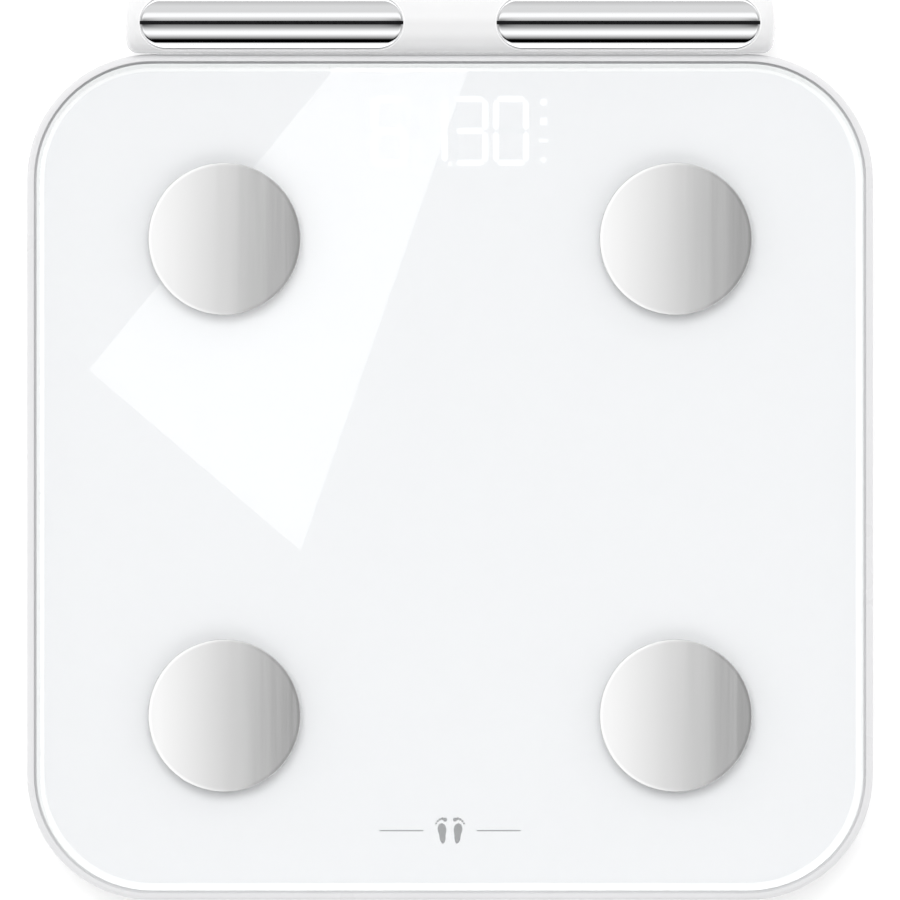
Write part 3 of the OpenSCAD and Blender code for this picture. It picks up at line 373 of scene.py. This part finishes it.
FINISH = {
    "clear_glass": clear_glass(),
    "white_print": print_white(),
    "white_foam": foam(),
    "white_abs": moulded("gloss_abs", (0.79, 0.79, 0.80), 0.30, 1600, 4e-6),
    "white_abs_base": moulded("eroded_abs", (0.74, 0.74, 0.745), 0.50, 2400, 3e-5),
    "brushed_steel": disc_steel(),
    "grip_chrome": chrome(),
    "grip_white": moulded("polished_abs", (0.86, 0.86, 0.865), 0.22, 1200, 2e-6, 0.04),
    "black_insulator": black_coat("black_insulator", 0.6, Specular_IOR_Level=0.1),
    "pad_rubber": rubber(),
    "cord_pvc": pvc("cord_pvc", (0.72, 0.72, 0.73)),
    "light_guide": resin("resin_dark", (0.84, 0.84, 0.86), 0.0),
    "display_white": moulded("display_housing", (0.80, 0.80, 0.80), 0.45, 2000, 1e-5),
    "circuit_green": board(),
    "chip_black": black_coat("chip_black", 0.55),
    "led_yellow": resin("led_phosphor", (0.85, 0.72, 0.20), 0.1),
    "zinc_screw": plated("zinc_screw", (0.56, 0.58, 0.60), 0.34),
    "cell_steel": drawn_metal("cell_steel", (0.60, 0.60, 0.60), 0.33, (1, 0.05, 1)),
    "contact_nickel": plated("contact_nickel", (0.66, 0.64, 0.60), 0.25),
    "cell_jacket": jacket(),
    "copper": plated("tinned_copper", (0.80, 0.50, 0.34), 0.30, amount=0.1),
    "axle_steel": drawn_metal("axle_steel", (0.62, 0.62, 0.63), 0.22, (1, 1, 0.05)),
    "spring_steel": drawn_metal("spring_steel", (0.36, 0.40, 0.46), 0.30, (1, 1, 0.05)),
    "white_acetal": moulded("acetal", (0.78, 0.78, 0.76), 0.38, 900, 6e-6),
    "magnet": plated("nickel_magnet", (0.63, 0.62, 0.60), 0.16, 200, 0.04),
    "keeper_steel": drawn_metal("keeper_steel", (0.52, 0.52, 0.52), 0.35, (0.05, 1, 1)),
    "wire_blue": pvc("wire_insulation", (0.06, 0.16, 0.42)),
}

# Made with the resin recipe, this white glows faintly though it is no lamp: painted highlight and painted
# light, for the glass's edge band, the rings round the plates and the bead in the groove by the grip.
PAINTED_HIGHLIGHT = resin("painted_highlight_white", (0.88, 0.88, 0.885), 0.10)

for node in nodes.values():
    slot_name = node.data.materials[0].name.split(".")[0]
    node.data.materials[0] = FINISH[slot_name]

# ------------------------------------------------------------------ mesh helpers


SHARP_ANGLE = math.radians(40)  # edges that turn by more than this stay sharp


def piece(name, vertices, faces, material):
    mesh = bpy.data.meshes.new(name)
    mesh.from_pydata([tuple(v) for v in vertices], [], faces)
    mesh.materials.append(material)
    made = bpy.data.objects.new(name, mesh)
    scene.collection.objects.link(made)
    mesh.shade_smooth()
    mesh.set_sharp_from_angle(angle=SHARP_ANGLE)
    return made


def revolved(profile, centre, segments):
    """Vertices and faces of a profile of (radius, z), which starts and ends on the axis, turned about it."""
    vertices = [(centre[0], centre[1], profile[0][1])]
    for radius, z in profile[1:-1]:
        for k in range(segments):
            turn = 2 * math.pi * k / segments
            x, y = radius * math.cos(turn), radius * math.sin(turn)
            vertices.append((centre[0] + x, centre[1] + y, z))
    vertices.append((centre[0], centre[1], profile[-1][1]))
    rings = len(profile) - 2
    last = len(vertices) - 1
    faces = []
    for k in range(segments):
        m = (k + 1) % segments
        faces.append((0, 1 + m, 1 + k))
        for ring in range(rings - 1):
            a, b = 1 + ring * segments, 1 + (ring + 1) * segments
            faces.append((a + k, a + m, b + m, b + k))
        top = 1 + (rings - 1) * segments
        faces.append((top + k, top + m, last))
    return vertices, faces


def swept(path, radius, sides):
    """Vertices and faces of a closed tube along path, with the frame carried along so that it never twists."""
    path = [Vector(p) for p in path]
    last = len(path) - 1
    tangents = [(path[min(i + 1, last)] - path[max(i - 1, 0)]).normalized() for i in range(last + 1)]
    side = tangents[0].orthogonal().normalized()
    vertices, faces = [], []
    for i, (point, along) in enumerate(zip(path, tangents)):
        side = (side - along * side.dot(along)).normalized()
        other = along.cross(side)
        for k in range(sides):
            turn = 2 * math.pi * k / sides
            vertices.append(point + radius * (math.cos(turn) * side + math.sin(turn) * other))
        if i:
            a, b = (i - 1) * sides, i * sides
            faces += [(a + k, a + (k + 1) % sides, b + (k + 1) % sides, b + k) for k in range(sides)]
    faces.append(tuple(reversed(range(sides))))
    faces.append(tuple(range(len(vertices) - sides, len(vertices))))
    return vertices, faces


def joined(*parts):
    """One list of vertices and one of faces from several."""
    vertices, faces = [], []
    for some, their in parts:
        base = len(vertices)
        vertices += [tuple(v) for v in some]
        faces += [tuple(base + i for i in f) for f in their]
    return vertices, faces


def arc(centre, radius, start, end, steps):
    """Points on a circle from start to end, in degrees."""
    return [(centre[0] + radius * math.cos(math.radians(start + (end - start) * k / steps)),
             centre[1] + radius * math.sin(math.radians(start + (end - start) * k / steps)))
            for k in range(steps + 1)]


# ------------------------------------------------------------------ foot electrodes

LIP_R = 0.28 * MM
CROWN = 0.45 * MM
STUD_R, COLLAR_R = 2.0 * MM, 3.3 * MM
DISC_GAP = 0.02 * MM  # between the glass and the disc's underside
DISC_SIDES, CROWN_STEPS = 160, 26


def disc_profile(low, high, radius):
    """A pressed disc: a stud and collar below, a rolled lip, and a crowned face."""
    seat = GLASS_TOP + DISC_GAP
    face = high.z - CROWN
    profile = [(0, low.z), (STUD_R - 0.2 * MM, low.z), (STUD_R, low.z + 0.2 * MM),
               (STUD_R, FILM_TOP), (COLLAR_R, FILM_TOP), (COLLAR_R, seat), (radius - 0.3 * MM, seat)]
    profile += arc((radius - LIP_R, seat + LIP_R), LIP_R, -60, 0, 4)
    flat = radius - LIP_R
    profile += arc((flat, face - LIP_R), LIP_R, 0, 88, 8)
    for k in range(1, CROWN_STEPS):
        r = flat * (1 - k / CROWN_STEPS)
        profile.append((r, high.z - CROWN * (r / flat) ** 2))
    profile.append((0, high.z))
    return profile


disc_pieces = []
for corner in DISCS:
    low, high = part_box(f"foot_electrode_{corner}")
    middle = ((low.x + high.x) / 2, (low.y + high.y) / 2)
    vertices, faces = revolved(disc_profile(low, high, (high.x - low.x) / 2), middle, DISC_SIDES)
    disc = piece(f"electrode_disc_{corner}", vertices, faces, FINISH["brushed_steel"])
    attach(disc, "base")
    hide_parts(f"foot_electrode_{corner}")
    disc_pieces.append(disc)

# ------------------------------------------------------------------ printed film and its pictogram

FILM_DROP = 0.05 * MM  # the film lies this far below the glass, so that the two never share a surface

film_mesh = nodes["backing_film"].data.copy()
for vertex in film_mesh.vertices:
    if vertex.co.z > FILM_TOP - 0.01 * MM:
        vertex.co.z = FILM_TOP - FILM_DROP
film = bpy.data.objects.new("printed_film", film_mesh)
scene.collection.objects.link(film)
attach(film, "base")
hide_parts("backing_film")


def prism(outline, z, height):
    """A thin closed solid from a flat outline."""
    n = len(outline)
    vertices = [(x, y, z) for x, y in outline] + [(x, y, z + height) for x, y in outline]
    faces = [tuple(reversed(range(n))), tuple(range(n, 2 * n))]
    faces += [(k, (k + 1) % n, n + (k + 1) % n, n + k) for k in range(n)]
    return vertices, faces


def band(outer, inner, z, height):
    """A thin closed band between two outlines with as many points."""
    n = len(outer)
    loops = ((0, outer), (height, outer), (height, inner), (0, inner))
    vertices = [(x, y, z + rise) for rise, loop in loops for x, y in loop]
    faces = [(a * n + k, a * n + (k + 1) % n, (a + 1) % 4 * n + (k + 1) % n, (a + 1) % 4 * n + k)
             for a in range(4) for k in range(n)]
    return vertices, faces


GLASS_CORNER_R, GLASS_CORNER_STEPS = 41.1 * MM, 24
BORDER_OUT, BORDER_IN, BORDER_T = 0.35 * MM, 2.7 * MM, 0.015 * MM  # insets of its two edges
PRINT_Z, PRINT_T = FILM_TOP - FILM_DROP, 0.02 * MM


def glass_outline(inset):
    """The glass's outline seen from above, moved in by inset."""
    middle_x = (glass_low.x + glass_high.x) / 2
    across = (glass_high.x - glass_low.x) / 2 - GLASS_CORNER_R
    along = (glass_high.y - glass_low.y) / 2 - GLASS_CORNER_R
    points = []
    for k, (side_x, side_y) in enumerate(((1, 1), (-1, 1), (-1, -1), (1, -1))):
        corner = (middle_x + side_x * across, CENTRE_Y + side_y * along)
        points += arc(corner, GLASS_CORNER_R - inset, 90 * k, 90 * k + 90, GLASS_CORNER_STEPS)
    return points


# A faintly glowing white band just inside the glass's outline, under the glass: a painted highlight of the
# glass's polished edge.
border_mesh = band(glass_outline(BORDER_OUT), glass_outline(BORDER_IN), PRINT_Z, BORDER_T)
border = piece("painted_glass_edge_highlight", *border_mesh, PAINTED_HIGHLIGHT)
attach(border, "base")


TOES = [(1.75, 3.9, 0.72), (2.75, 4.25, 0.50), (3.65, 3.95, 0.44), (4.4, 3.35, 0.40), (4.95, 2.55, 0.36)]
BAR_START, BAR_END, BAR_HALF = 9.5, 25.0, 0.22
PICTOGRAM_Y = CENTRE_Y - 125.3 * MM


def footprint(side):
    """The outlines of one sole and its toes, in millimetres: the big toe is on the inner side."""
    sole = []
    for k in range(48):
        turn = 2 * math.pi * k / 48
        along = math.sin(turn)
        half = 1.55 + 0.42 * along - 0.38 * math.exp(-((along + 0.15) / 0.35) ** 2)
        sole.append((side * (2.75 + half * math.cos(turn) + 0.25 * along), 3.6 * along - 1.0))
    shapes = [sole]
    for x, y, r in TOES:
        toe = arc((x, y), r, 0, 342, 19)
        shapes.append([(side * u, v) for u, v in toe])
    return shapes if side > 0 else [shape[::-1] for shape in shapes]


def side_bar(side):
    """The outline of the bar beside one footprint, in millimetres."""
    bar = [(BAR_START, -BAR_HALF), (BAR_END, -BAR_HALF), (BAR_END, BAR_HALF), (BAR_START, BAR_HALF)]
    bar = [(side * u, v) for u, v in bar]
    return bar if side > 0 else bar[::-1]


outlines = [shape for side in (-1, 1) for shape in footprint(side)] + [side_bar(-1), side_bar(1)]
marks = [prism([(x * MM, PICTOGRAM_Y + y * MM) for x, y in shape], PRINT_Z, PRINT_T)
         for shape in outlines]
pictogram = piece("printed_footprints", *joined(*marks), ink("grey_ink", (0.27, 0.27, 0.28)))
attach(pictogram, "base")

# ------------------------------------------------------------------ display

# The bars that shine for each digit: bottom, middle, top, left low, left high, right low, right high.
DIGIT_BARS = {"6": "1111110", "1": "0000011", "3": "1110011", "0": "1011111"}
SHOWN = "6130"
DIGIT_PITCH, DIGIT_W, DIGIT_H, BAR_W = 14.4 * MM, 12.8 * MM, 24.8 * MM, 2.2 * MM
DIGITS_Y = CENTRE_Y + 122.8 * MM
POINT_RISE = 0.6 * MM
MARKS_X, MARKS_PITCH = 33.2 * MM, 6.8 * MM
LIT_REACH = 1.2 * MM  # a body shines if its middle is this near to a lit place


def lit_places():
    """The middles of the bars, the point and the marks that shine, about the digits' centre."""
    across, up = DIGIT_W - BAR_W, DIGIT_H - BAR_W
    bars = [(0, -up / 2), (0, 0), (0, up / 2),
            (-across / 2, -up / 4), (-across / 2, up / 4), (across / 2, -up / 4), (across / 2, up / 4)]
    places = []
    for k, character in enumerate(SHOWN):
        x = (k - 1.5) * DIGIT_PITCH
        places += [(x + bx, by) for (bx, by), on in zip(bars, DIGIT_BARS[character]) if on == "1"]
    places.append((0, -DIGIT_H / 2 + POINT_RISE))
    places += [(MARKS_X, k * MARKS_PITCH) for k in (-1.5, -0.5, 0.5, 1.5)]
    return np.array(places)


lit = lit_places()
segments = nodes["display_segments"].data
segments.materials.append(resin("resin_lit", (0.88, 0.88, 0.90), 0.12))
co = np.zeros(len(segments.vertices) * 3, np.float32)
segments.vertices.foreach_get("co", co)
co = co.reshape(-1, 3)


def bodies_of(mesh):
    """For each polygon, the middle of the closed body that it belongs to, found by joining equal corners."""
    keys = {}
    parent = list(range(len(mesh.vertices)))

    def root(i):
        while parent[i] != i:
            parent[i] = parent[parent[i]]
            i = parent[i]
        return i

    for i, v in enumerate(mesh.vertices):
        key = tuple(round(c * 1e6) for c in v.co)
        parent[root(i)] = root(keys.setdefault(key, i))
    for polygon in mesh.polygons:
        first = polygon.vertices[0]
        for other in polygon.vertices[1:]:
            parent[root(other)] = root(first)
    groups = {}
    for i in range(len(mesh.vertices)):
        groups.setdefault(root(i), []).append(i)
    middles = {g: (co[m].min(0) + co[m].max(0)) / 2 for g, m in groups.items()}
    return [middles[root(p.vertices[0])] for p in mesh.polygons]


for polygon, middle in zip(segments.polygons, bodies_of(segments)):
    gap = np.hypot(lit[:, 0] - middle[0], lit[:, 1] + DIGITS_Y - middle[1]).min()
    polygon.material_index = 1 if gap < LIT_REACH else 0

# ------------------------------------------------------------------ grip plates

plate_low, plate_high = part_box("grip_plate_left_front")
PAIR_HALF_L = (plate_high.x - plate_low.x) / 2
PAIR_HALF_W = GRIP_Y - plate_low.y
SPLIT_HALF = GRIP_Y - plate_high.y
ROLL_R, ROLL_W = 2.4 * MM, 1.3 * MM
PLATE_LIFT_R = GRIP_R + 0.15 * MM


def half_stadium(n_arc, n_long):
    """A front plate's outline seen from above, about the pair's middle, and how many of its points
    are on the split."""
    r = PAIR_HALF_W
    reach = PAIR_HALF_L - r
    lean = math.degrees(math.asin(SPLIT_HALF / r))
    end_x = reach + r * math.cos(math.radians(lean))
    split = [(-end_x + 2 * end_x * k / n_long, -SPLIT_HALF) for k in range(n_long)]
    right = [(reach + x, y) for x, y in arc((0, 0), r, -lean, -90, n_arc)][:-1]
    front = [(reach - 2 * reach * k / n_long, -r) for k in range(n_long)]
    left = [(-reach + x, y) for x, y in arc((0, 0), r, -90, -180 + lean, n_arc)][:-1]
    return split + right + front + left, n_long


# The rows of a plate's grid, as shares of the way from its outline to the split.
SHARES = [0, 0.012, 0.03, 0.05, 0.075, 0.105, 0.14, 0.18, 0.225, 0.275, 0.33, 0.4, 0.48, 0.57, 0.67, 0.78,
          0.89, 1]
OUTLINE_ARC, OUTLINE_RUN = 28, 120
UNDER_R = PLATE_LIFT_R - 0.87 * MM


def plate_mesh(middle_x, way):
    """A plate that wraps the grip and rolls down into its recess at the outline, but not at the split.

    It is a grid: one column for each point of the outline, from there to the split. The two end
    columns have no length, and weld() joins their corners."""
    outline, on_split = half_stadium(OUTLINE_ARC, OUTLINE_RUN)
    flat = np.array(outline)
    # y becomes the length round the grip
    flat[:, 1] = PLATE_LIFT_R * np.arcsin(flat[:, 1] / PLATE_LIFT_R)
    split_y = flat[0, 1]
    edge = np.vstack([flat[on_split:], flat[:1]])
    edge[[0, -1], 1] = split_y
    dense = np.concatenate([edge[:-1] + (edge[1:] - edge[:-1]) * t for t in (0, 0.25, 0.5, 0.75)])
    n = len(edge)
    vertices = []

    def row(share, top):
        points = edge.copy()
        points[:, 1] += (split_y - points[:, 1]) * share
        gap = np.sqrt(((points[:, None, :] - dense[None]) ** 2).sum(2)).min(1)
        short = np.clip(ROLL_W - gap, 0, None)
        sink = ROLL_R - np.sqrt(ROLL_R**2 - short**2)
        radius = PLATE_LIFT_R - sink if top else np.full(n, UNDER_R)
        turn = points[:, 1] / PLATE_LIFT_R
        for x, r, a in zip(points[:, 0], radius, turn):
            vertices.append((middle_x + x, GRIP_Y - way * r * math.sin(a), GRIP_Z + r * math.cos(a)))

    for share in SHARES:
        row(share, True)
    for share in reversed(SHARES):
        row(share, False)
    rows = 2 * len(SHARES)
    faces = [(a * n + k, a * n + k + 1, (a + 1) % rows * n + k + 1, (a + 1) % rows * n + k)
             for a in range(rows) for k in range(n - 1)]
    return vertices, faces


WELD = 2e-6


def weld(obj):
    """Joins the corners of a plate's end columns, so that its mesh closes."""
    work = bmesh.new()
    work.from_mesh(obj.data)
    bmesh.ops.remove_doubles(work, verts=work.verts, dist=WELD)
    bmesh.ops.dissolve_degenerate(work, edges=work.edges, dist=WELD / 4)
    bmesh.ops.recalc_face_normals(work, faces=work.faces)
    work.to_mesh(obj.data)
    work.free()
    obj.data.shade_smooth()
    obj.data.set_sharp_from_angle(angle=SHARP_ANGLE)


plate_pieces = []
for hand in ("left", "right"):
    for place in ("front", "rear"):
        source = f"grip_plate_{hand}_{place}"
        low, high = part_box(source)
        way = 1 if place == "rear" else -1
        vertices, faces = plate_mesh((low.x + high.x) / 2, way)
        plate = piece(f"chrome_plate_{hand}_{place}", vertices, faces, FINISH["grip_chrome"])
        weld(plate)
        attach(plate, "handle")
        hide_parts(source)
        plate_pieces.append(plate)

# The rings just outside each pair of plates glow faintly in white: a painted highlight on the recess edge,
# which also lifts the shade in the gap round the plates.
HALO_R, HALO_OUT, HALO_SINK = 0.3 * MM, 0.2 * MM, 0.2 * MM
HALO_ARC, HALO_RUN = 36, 60


def plate_halo_path(middle_x):
    """Once round a pair of plates, just outside them, on the grip's surface."""
    r = PAIR_HALF_W + HALO_OUT
    reach = PAIR_HALF_L - PAIR_HALF_W
    step = 2 * reach / HALO_RUN
    plan = arc((reach, 0), r, -90, 90, HALO_ARC)
    plan += [(reach - k * step, r) for k in range(1, HALO_RUN)]
    plan += arc((-reach, 0), r, 90, 270, HALO_ARC)
    plan += [(-reach + k * step, -r) for k in range(1, HALO_RUN + 1)]
    on = GRIP_R - HALO_SINK
    return [(middle_x + x, GRIP_Y + y, GRIP_Z + math.sqrt(on**2 - y**2)) for x, y in plan]


for hand in ("left", "right"):
    low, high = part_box(f"grip_plate_{hand}_front")
    plate_halo_mesh = swept(plate_halo_path((low.x + high.x) / 2), HALO_R, 8)
    plate_halo = piece(f"painted_plate_halo_{hand}", *plate_halo_mesh, PAINTED_HIGHLIGHT)
    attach(plate_halo, "handle")

# ------------------------------------------------------------------ cord

CORD_R = 1.0 * MM
BEND_R = 4.0 * MM
lead_low, lead_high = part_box("cord_lead")
stub_low, stub_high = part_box("cord_stub")
winding_low, winding_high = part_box("cord_winding")
cord_z = lead_low.z + CORD_R
bend_y = GRIP_Y - BEND_R

route = [(0, lead_low.y + (bend_y - lead_low.y) * k / 60, cord_z) for k in range(61)]
route += [(0, y, z) for y, z in arc((bend_y, cord_z + BEND_R), BEND_R, -90, 0, 18)][1:]
route += [(0, GRIP_Y, z) for z in (lead_high.z - 0.3 * MM, lead_high.z, stub_low.z, stub_low.z + 0.4 * MM)]
route += [(0, GRIP_Y, stub_low.z + (stub_high.z - stub_low.z) * (0.1 + 0.1 * k)) for k in range(10)]
cord_run = piece("cord_run", *swept(route, CORD_R, 24), FINISH["cord_pvc"])
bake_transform(cord_run)
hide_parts("cord_lead", "cord_stub")


TURNS, TURN_STEPS = 6, 72
WOUND_R = 19.1 * MM  # of the first layer


def winding_path():
    """Six turns on the hub: three layers of two, each layer wound back over the last."""
    axis = ((winding_low.x + winding_high.x) / 2, (winding_low.y + winding_high.y) / 2)
    rows = (winding_low.z + 1.05 * CORD_R, winding_high.z - 1.05 * CORD_R)
    path = []
    for k in range(TURNS * TURN_STEPS + 1):
        turn = k / TURN_STEPS
        layer = min(int(turn // 2), 2)
        within = turn - 2 * layer
        climb = min(max((within - 0.85) / 0.3, 0), 1)
        row = rows[layer % 2] + (rows[1 - layer % 2] - rows[layer % 2]) * climb
        out = min(max((within - 1.8) / 0.2, 0), 1) if layer < 2 else 0
        radius = WOUND_R + (layer + out) * 2.15 * CORD_R
        angle = 2 * math.pi * turn
        path.append((axis[0] + radius * math.cos(angle), axis[1] + radius * math.sin(angle), row))
    return path


cord_turns = piece("cord_turns", *swept(winding_path(), CORD_R, 14), FINISH["cord_pvc"])
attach(cord_turns, "reel")
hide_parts("cord_winding")

# ------------------------------------------------------------------ painted light in the groove between platform and grip

# A thin white bead that glows faintly, lying in the groove between the platform's rim and the grip: painted
# light that lifts the shade there.
GROOVE_GLOW_R, GROOVE_GLOW_HALF, GROOVE_GLOW_STEPS = 0.2 * MM, 104 * MM, 40
groove_glow_y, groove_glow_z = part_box("upper_frame")[1].y + 0.05 * MM, GLASS_TOP - 0.7 * MM
groove_glow_path = [(GROOVE_GLOW_HALF * (2 * k / GROOVE_GLOW_STEPS - 1), groove_glow_y, groove_glow_z)
               for k in range(GROOVE_GLOW_STEPS + 1)]
groove_glow = piece("painted_groove_glow", *swept(groove_glow_path, GROOVE_GLOW_R, 12), PAINTED_HIGHLIGHT)
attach(groove_glow, "base")

# ------------------------------------------------------------------ floor

SQUARE = ((-1, -1), (1, -1), (1, 1), (-1, 1))
FLOOR_HALF, FLOOR_Z = 6.0, -0.1 * MM
floor_finish = moulded("floor_white", (0.93, 0.93, 0.93), 0.7, 300, 1e-5, Emission_Strength=0.25)
floor = piece("floor", [(x * FLOOR_HALF, y * FLOOR_HALF, FLOOR_Z) for x, y in SQUARE],
              [(0, 1, 2, 3)], floor_finish)

# ------------------------------------------------------------------ light

# The studio across the grip, in degrees from straight up: minus is the front. Between two of these,
# the light changes evenly.
BRIGHT_FLOOR = -84  # from here to the horizon
FLAG = (-79, -65)  # a black flag
FRONT_BOX = (-42, -33)  # a softbox
GAP = (-7, 6)  # nothing overhead
REAR_BOX = (24, 34)  # a softbox
REAR_WALL, WALL_BRIGHT, FAR_BRIGHT = (42, 66), 0.7, 0.5  # a grey wall, darker towards the horizon
SKY = [(-90, 1.0), (BRIGHT_FLOOR, 1.0), (FLAG[0], 0.0), (FLAG[1], 0.0), (FRONT_BOX[0], 1.0),
       (FRONT_BOX[1], 1.0), (GAP[0], 0.0), (GAP[1], 0.0), (REAR_BOX[0], 1.0), (REAR_BOX[1], 1.0),
       (REAR_WALL[0], WALL_BRIGHT), (REAR_WALL[1], WALL_BRIGHT), (90, FAR_BRIGHT)]
SKY_STRENGTH = 1.05
BAND_REACH = (0.25, 0.5)  # how far to the side the bands start to fade and end, in a unit direction's x
EVEN_SKY = (0.95, 0.25)  # the even studio's brightness at the horizon and overhead


def build_world():
    """A sky with bands across the grip, which give way to an even studio to the sides."""
    world = bpy.data.worlds.new("studio")
    scene.world = world
    tree = bare_tree(world)
    link = tree.links.new
    where = add_node(tree, "ShaderNodeTexCoord")
    axes = add_node(tree, "ShaderNodeSeparateXYZ")
    link(where.outputs["Generated"], axes.inputs["Vector"])
    angle = add_node(tree, "ShaderNodeMath", operation="ARCTAN2")
    link(axes.outputs["Y"], angle.inputs[0])
    link(axes.outputs["Z"], angle.inputs[1])
    ramp = add_node(tree, "ShaderNodeValToRGB")
    stops = ramp.color_ramp.elements
    for k, (degrees, bright) in enumerate(SKY):
        place = (degrees + 90) / 180
        stop = stops[k] if k < 2 else stops.new(place)
        stop.position = place
        stop.color = (bright, bright, bright, 1)
    link(add_range(tree, angle.outputs[0], -math.pi / 2, math.pi / 2, 0, 1), ramp.inputs["Fac"])
    aside = add_node(tree, "ShaderNodeMath", operation="ABSOLUTE")
    link(axes.outputs["X"], aside.inputs[0])
    fade = add_range(tree, aside.outputs[0], *BAND_REACH, 0, 1, interpolation_type="SMOOTHSTEP")
    both = add_node(tree, "ShaderNodeMix", data_type="RGBA")
    link(fade, both.inputs["Factor"])
    link(ramp.outputs["Color"], both.inputs[6])
    link(add_range(tree, axes.outputs["Z"], 0, 1, *EVEN_SKY), both.inputs[7])
    background = add_node(tree, "ShaderNodeBackground")
    background.inputs["Strength"].default_value = SKY_STRENGTH
    link(both.outputs[2], background.inputs["Color"])
    output = add_node(tree, "ShaderNodeOutputWorld")
    link(background.outputs["Background"], output.inputs["Surface"])


build_world()


def sun(name, energy, spread, tilt_x, tilt_y=0):
    """A broad soft light from far away, which no shiny surface mirrors. Angles are in degrees."""
    data = bpy.data.lights.new(name, "SUN")
    data.energy = energy
    data.angle = math.radians(spread)
    made = bpy.data.objects.new(name, data)
    made.rotation_euler = (math.radians(tilt_x), math.radians(tilt_y), 0)
    made.visible_glossy = False
    scene.collection.objects.link(made)


sun("overhead_fill", 1.48, 44, -20, -5)
sun("front_fill", 0.28, 60, 52)


def card(name, corners, strength, receivers, gradient=None):
    """A flat card of light that lights only its receivers, and that nothing else sees.

    gradient is (x low, x high, share high): the light falls from all of strength to that share."""
    material = bpy.data.materials.new(name)
    tree = bare_tree(material)
    glow = add_node(tree, "ShaderNodeEmission")
    glow.inputs["Strength"].default_value = strength
    clear = add_node(tree, "ShaderNodeBsdfTransparent")
    both = add_node(tree, "ShaderNodeAddShader")
    output = add_node(tree, "ShaderNodeOutputMaterial")
    tree.links.new(glow.outputs[0], both.inputs[0])
    tree.links.new(clear.outputs[0], both.inputs[1])
    tree.links.new(both.outputs[0], output.inputs["Surface"])
    if gradient:
        low, high, share_high = gradient
        where = add_node(tree, "ShaderNodeTexCoord")
        axes = add_node(tree, "ShaderNodeSeparateXYZ")
        tree.links.new(where.outputs["Object"], axes.inputs["Vector"])
        share = add_range(tree, axes.outputs["X"], low, high, 1, share_high)
        tree.links.new(share, glow.inputs["Color"])
    made = piece(name, corners, [(0, 1, 2, 3)], material)
    made.visible_camera = False
    made.visible_shadow = False
    group = bpy.data.collections.new(name + "_sees")
    for receiver in receivers:
        group.objects.link(receiver)
    made.light_linking.receiver_collection = group


LEFT_CARD_Z, RIGHT_CARD_Z, GLASS_CARD_Z = 1.5, 1.6, 1.7
CARD_HALF = 0.9
CARD_GLOW, CARD_FADE = 1.315, 0.234


def mirrored(x, y, height):
    """Where a card at that height shows in the flat glass at x, y, as the camera sees it."""
    eye = camera.location
    run = (height - GLASS_TOP) / (eye.z - GLASS_TOP)
    return x + (x - eye.x) * run, y + (y - eye.y) * run, height


for side, height, pair in (("left", LEFT_CARD_Z, (0, 2)), ("right", RIGHT_CARD_Z, (1, 3))):
    low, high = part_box(f"foot_electrode_front_{side}")
    middle = mirrored((low.x + high.x) / 2, 0, height)[0]
    radius = (high.x - low.x) / 2
    half = 4 * CROWN / radius * (height - GLASS_TOP) + radius  # what the crowned disc mirrors
    corners = [(middle + x * CARD_HALF, y * CARD_HALF, height) for x, y in SQUARE]
    card(f"disc_card_{side}", corners, CARD_GLOW, [disc_pieces[k] for k in pair],
         (middle - half, middle + half, CARD_FADE))

# the pale wedge that the glass mirrors, by its corners there in millimetres
WEDGE = ((-128, 38), (-53, -26), (7, 146), (-40, 146))
wedge = [mirrored(x * MM, CENTRE_Y + y * MM, GLASS_CARD_Z) for x, y in WEDGE]
card("glass_card", wedge, 1.0, [nodes["glass_plate"]])

# the light that the pale rim throws on the docked plates
RIM_CARD_Y, RIM_CARD_LOW, RIM_CARD_HIGH, RIM_CARD_HALF = 138.9 * MM, 27 * MM, 31.8 * MM, 112 * MM
rim_corners = [(-RIM_CARD_HALF, RIM_CARD_Y, RIM_CARD_LOW), (RIM_CARD_HALF, RIM_CARD_Y, RIM_CARD_LOW),
               (RIM_CARD_HALF, RIM_CARD_Y, RIM_CARD_HIGH), (-RIM_CARD_HALF, RIM_CARD_Y, RIM_CARD_HIGH)]
card("rim_card", rim_corners, 0.75, plate_pieces)

# ------------------------------------------------------------------ picture

scene.view_settings.view_transform = "Standard"
scene.view_settings.look = "None"
scene.view_settings.exposure = 0
scene.view_settings.gamma = 1
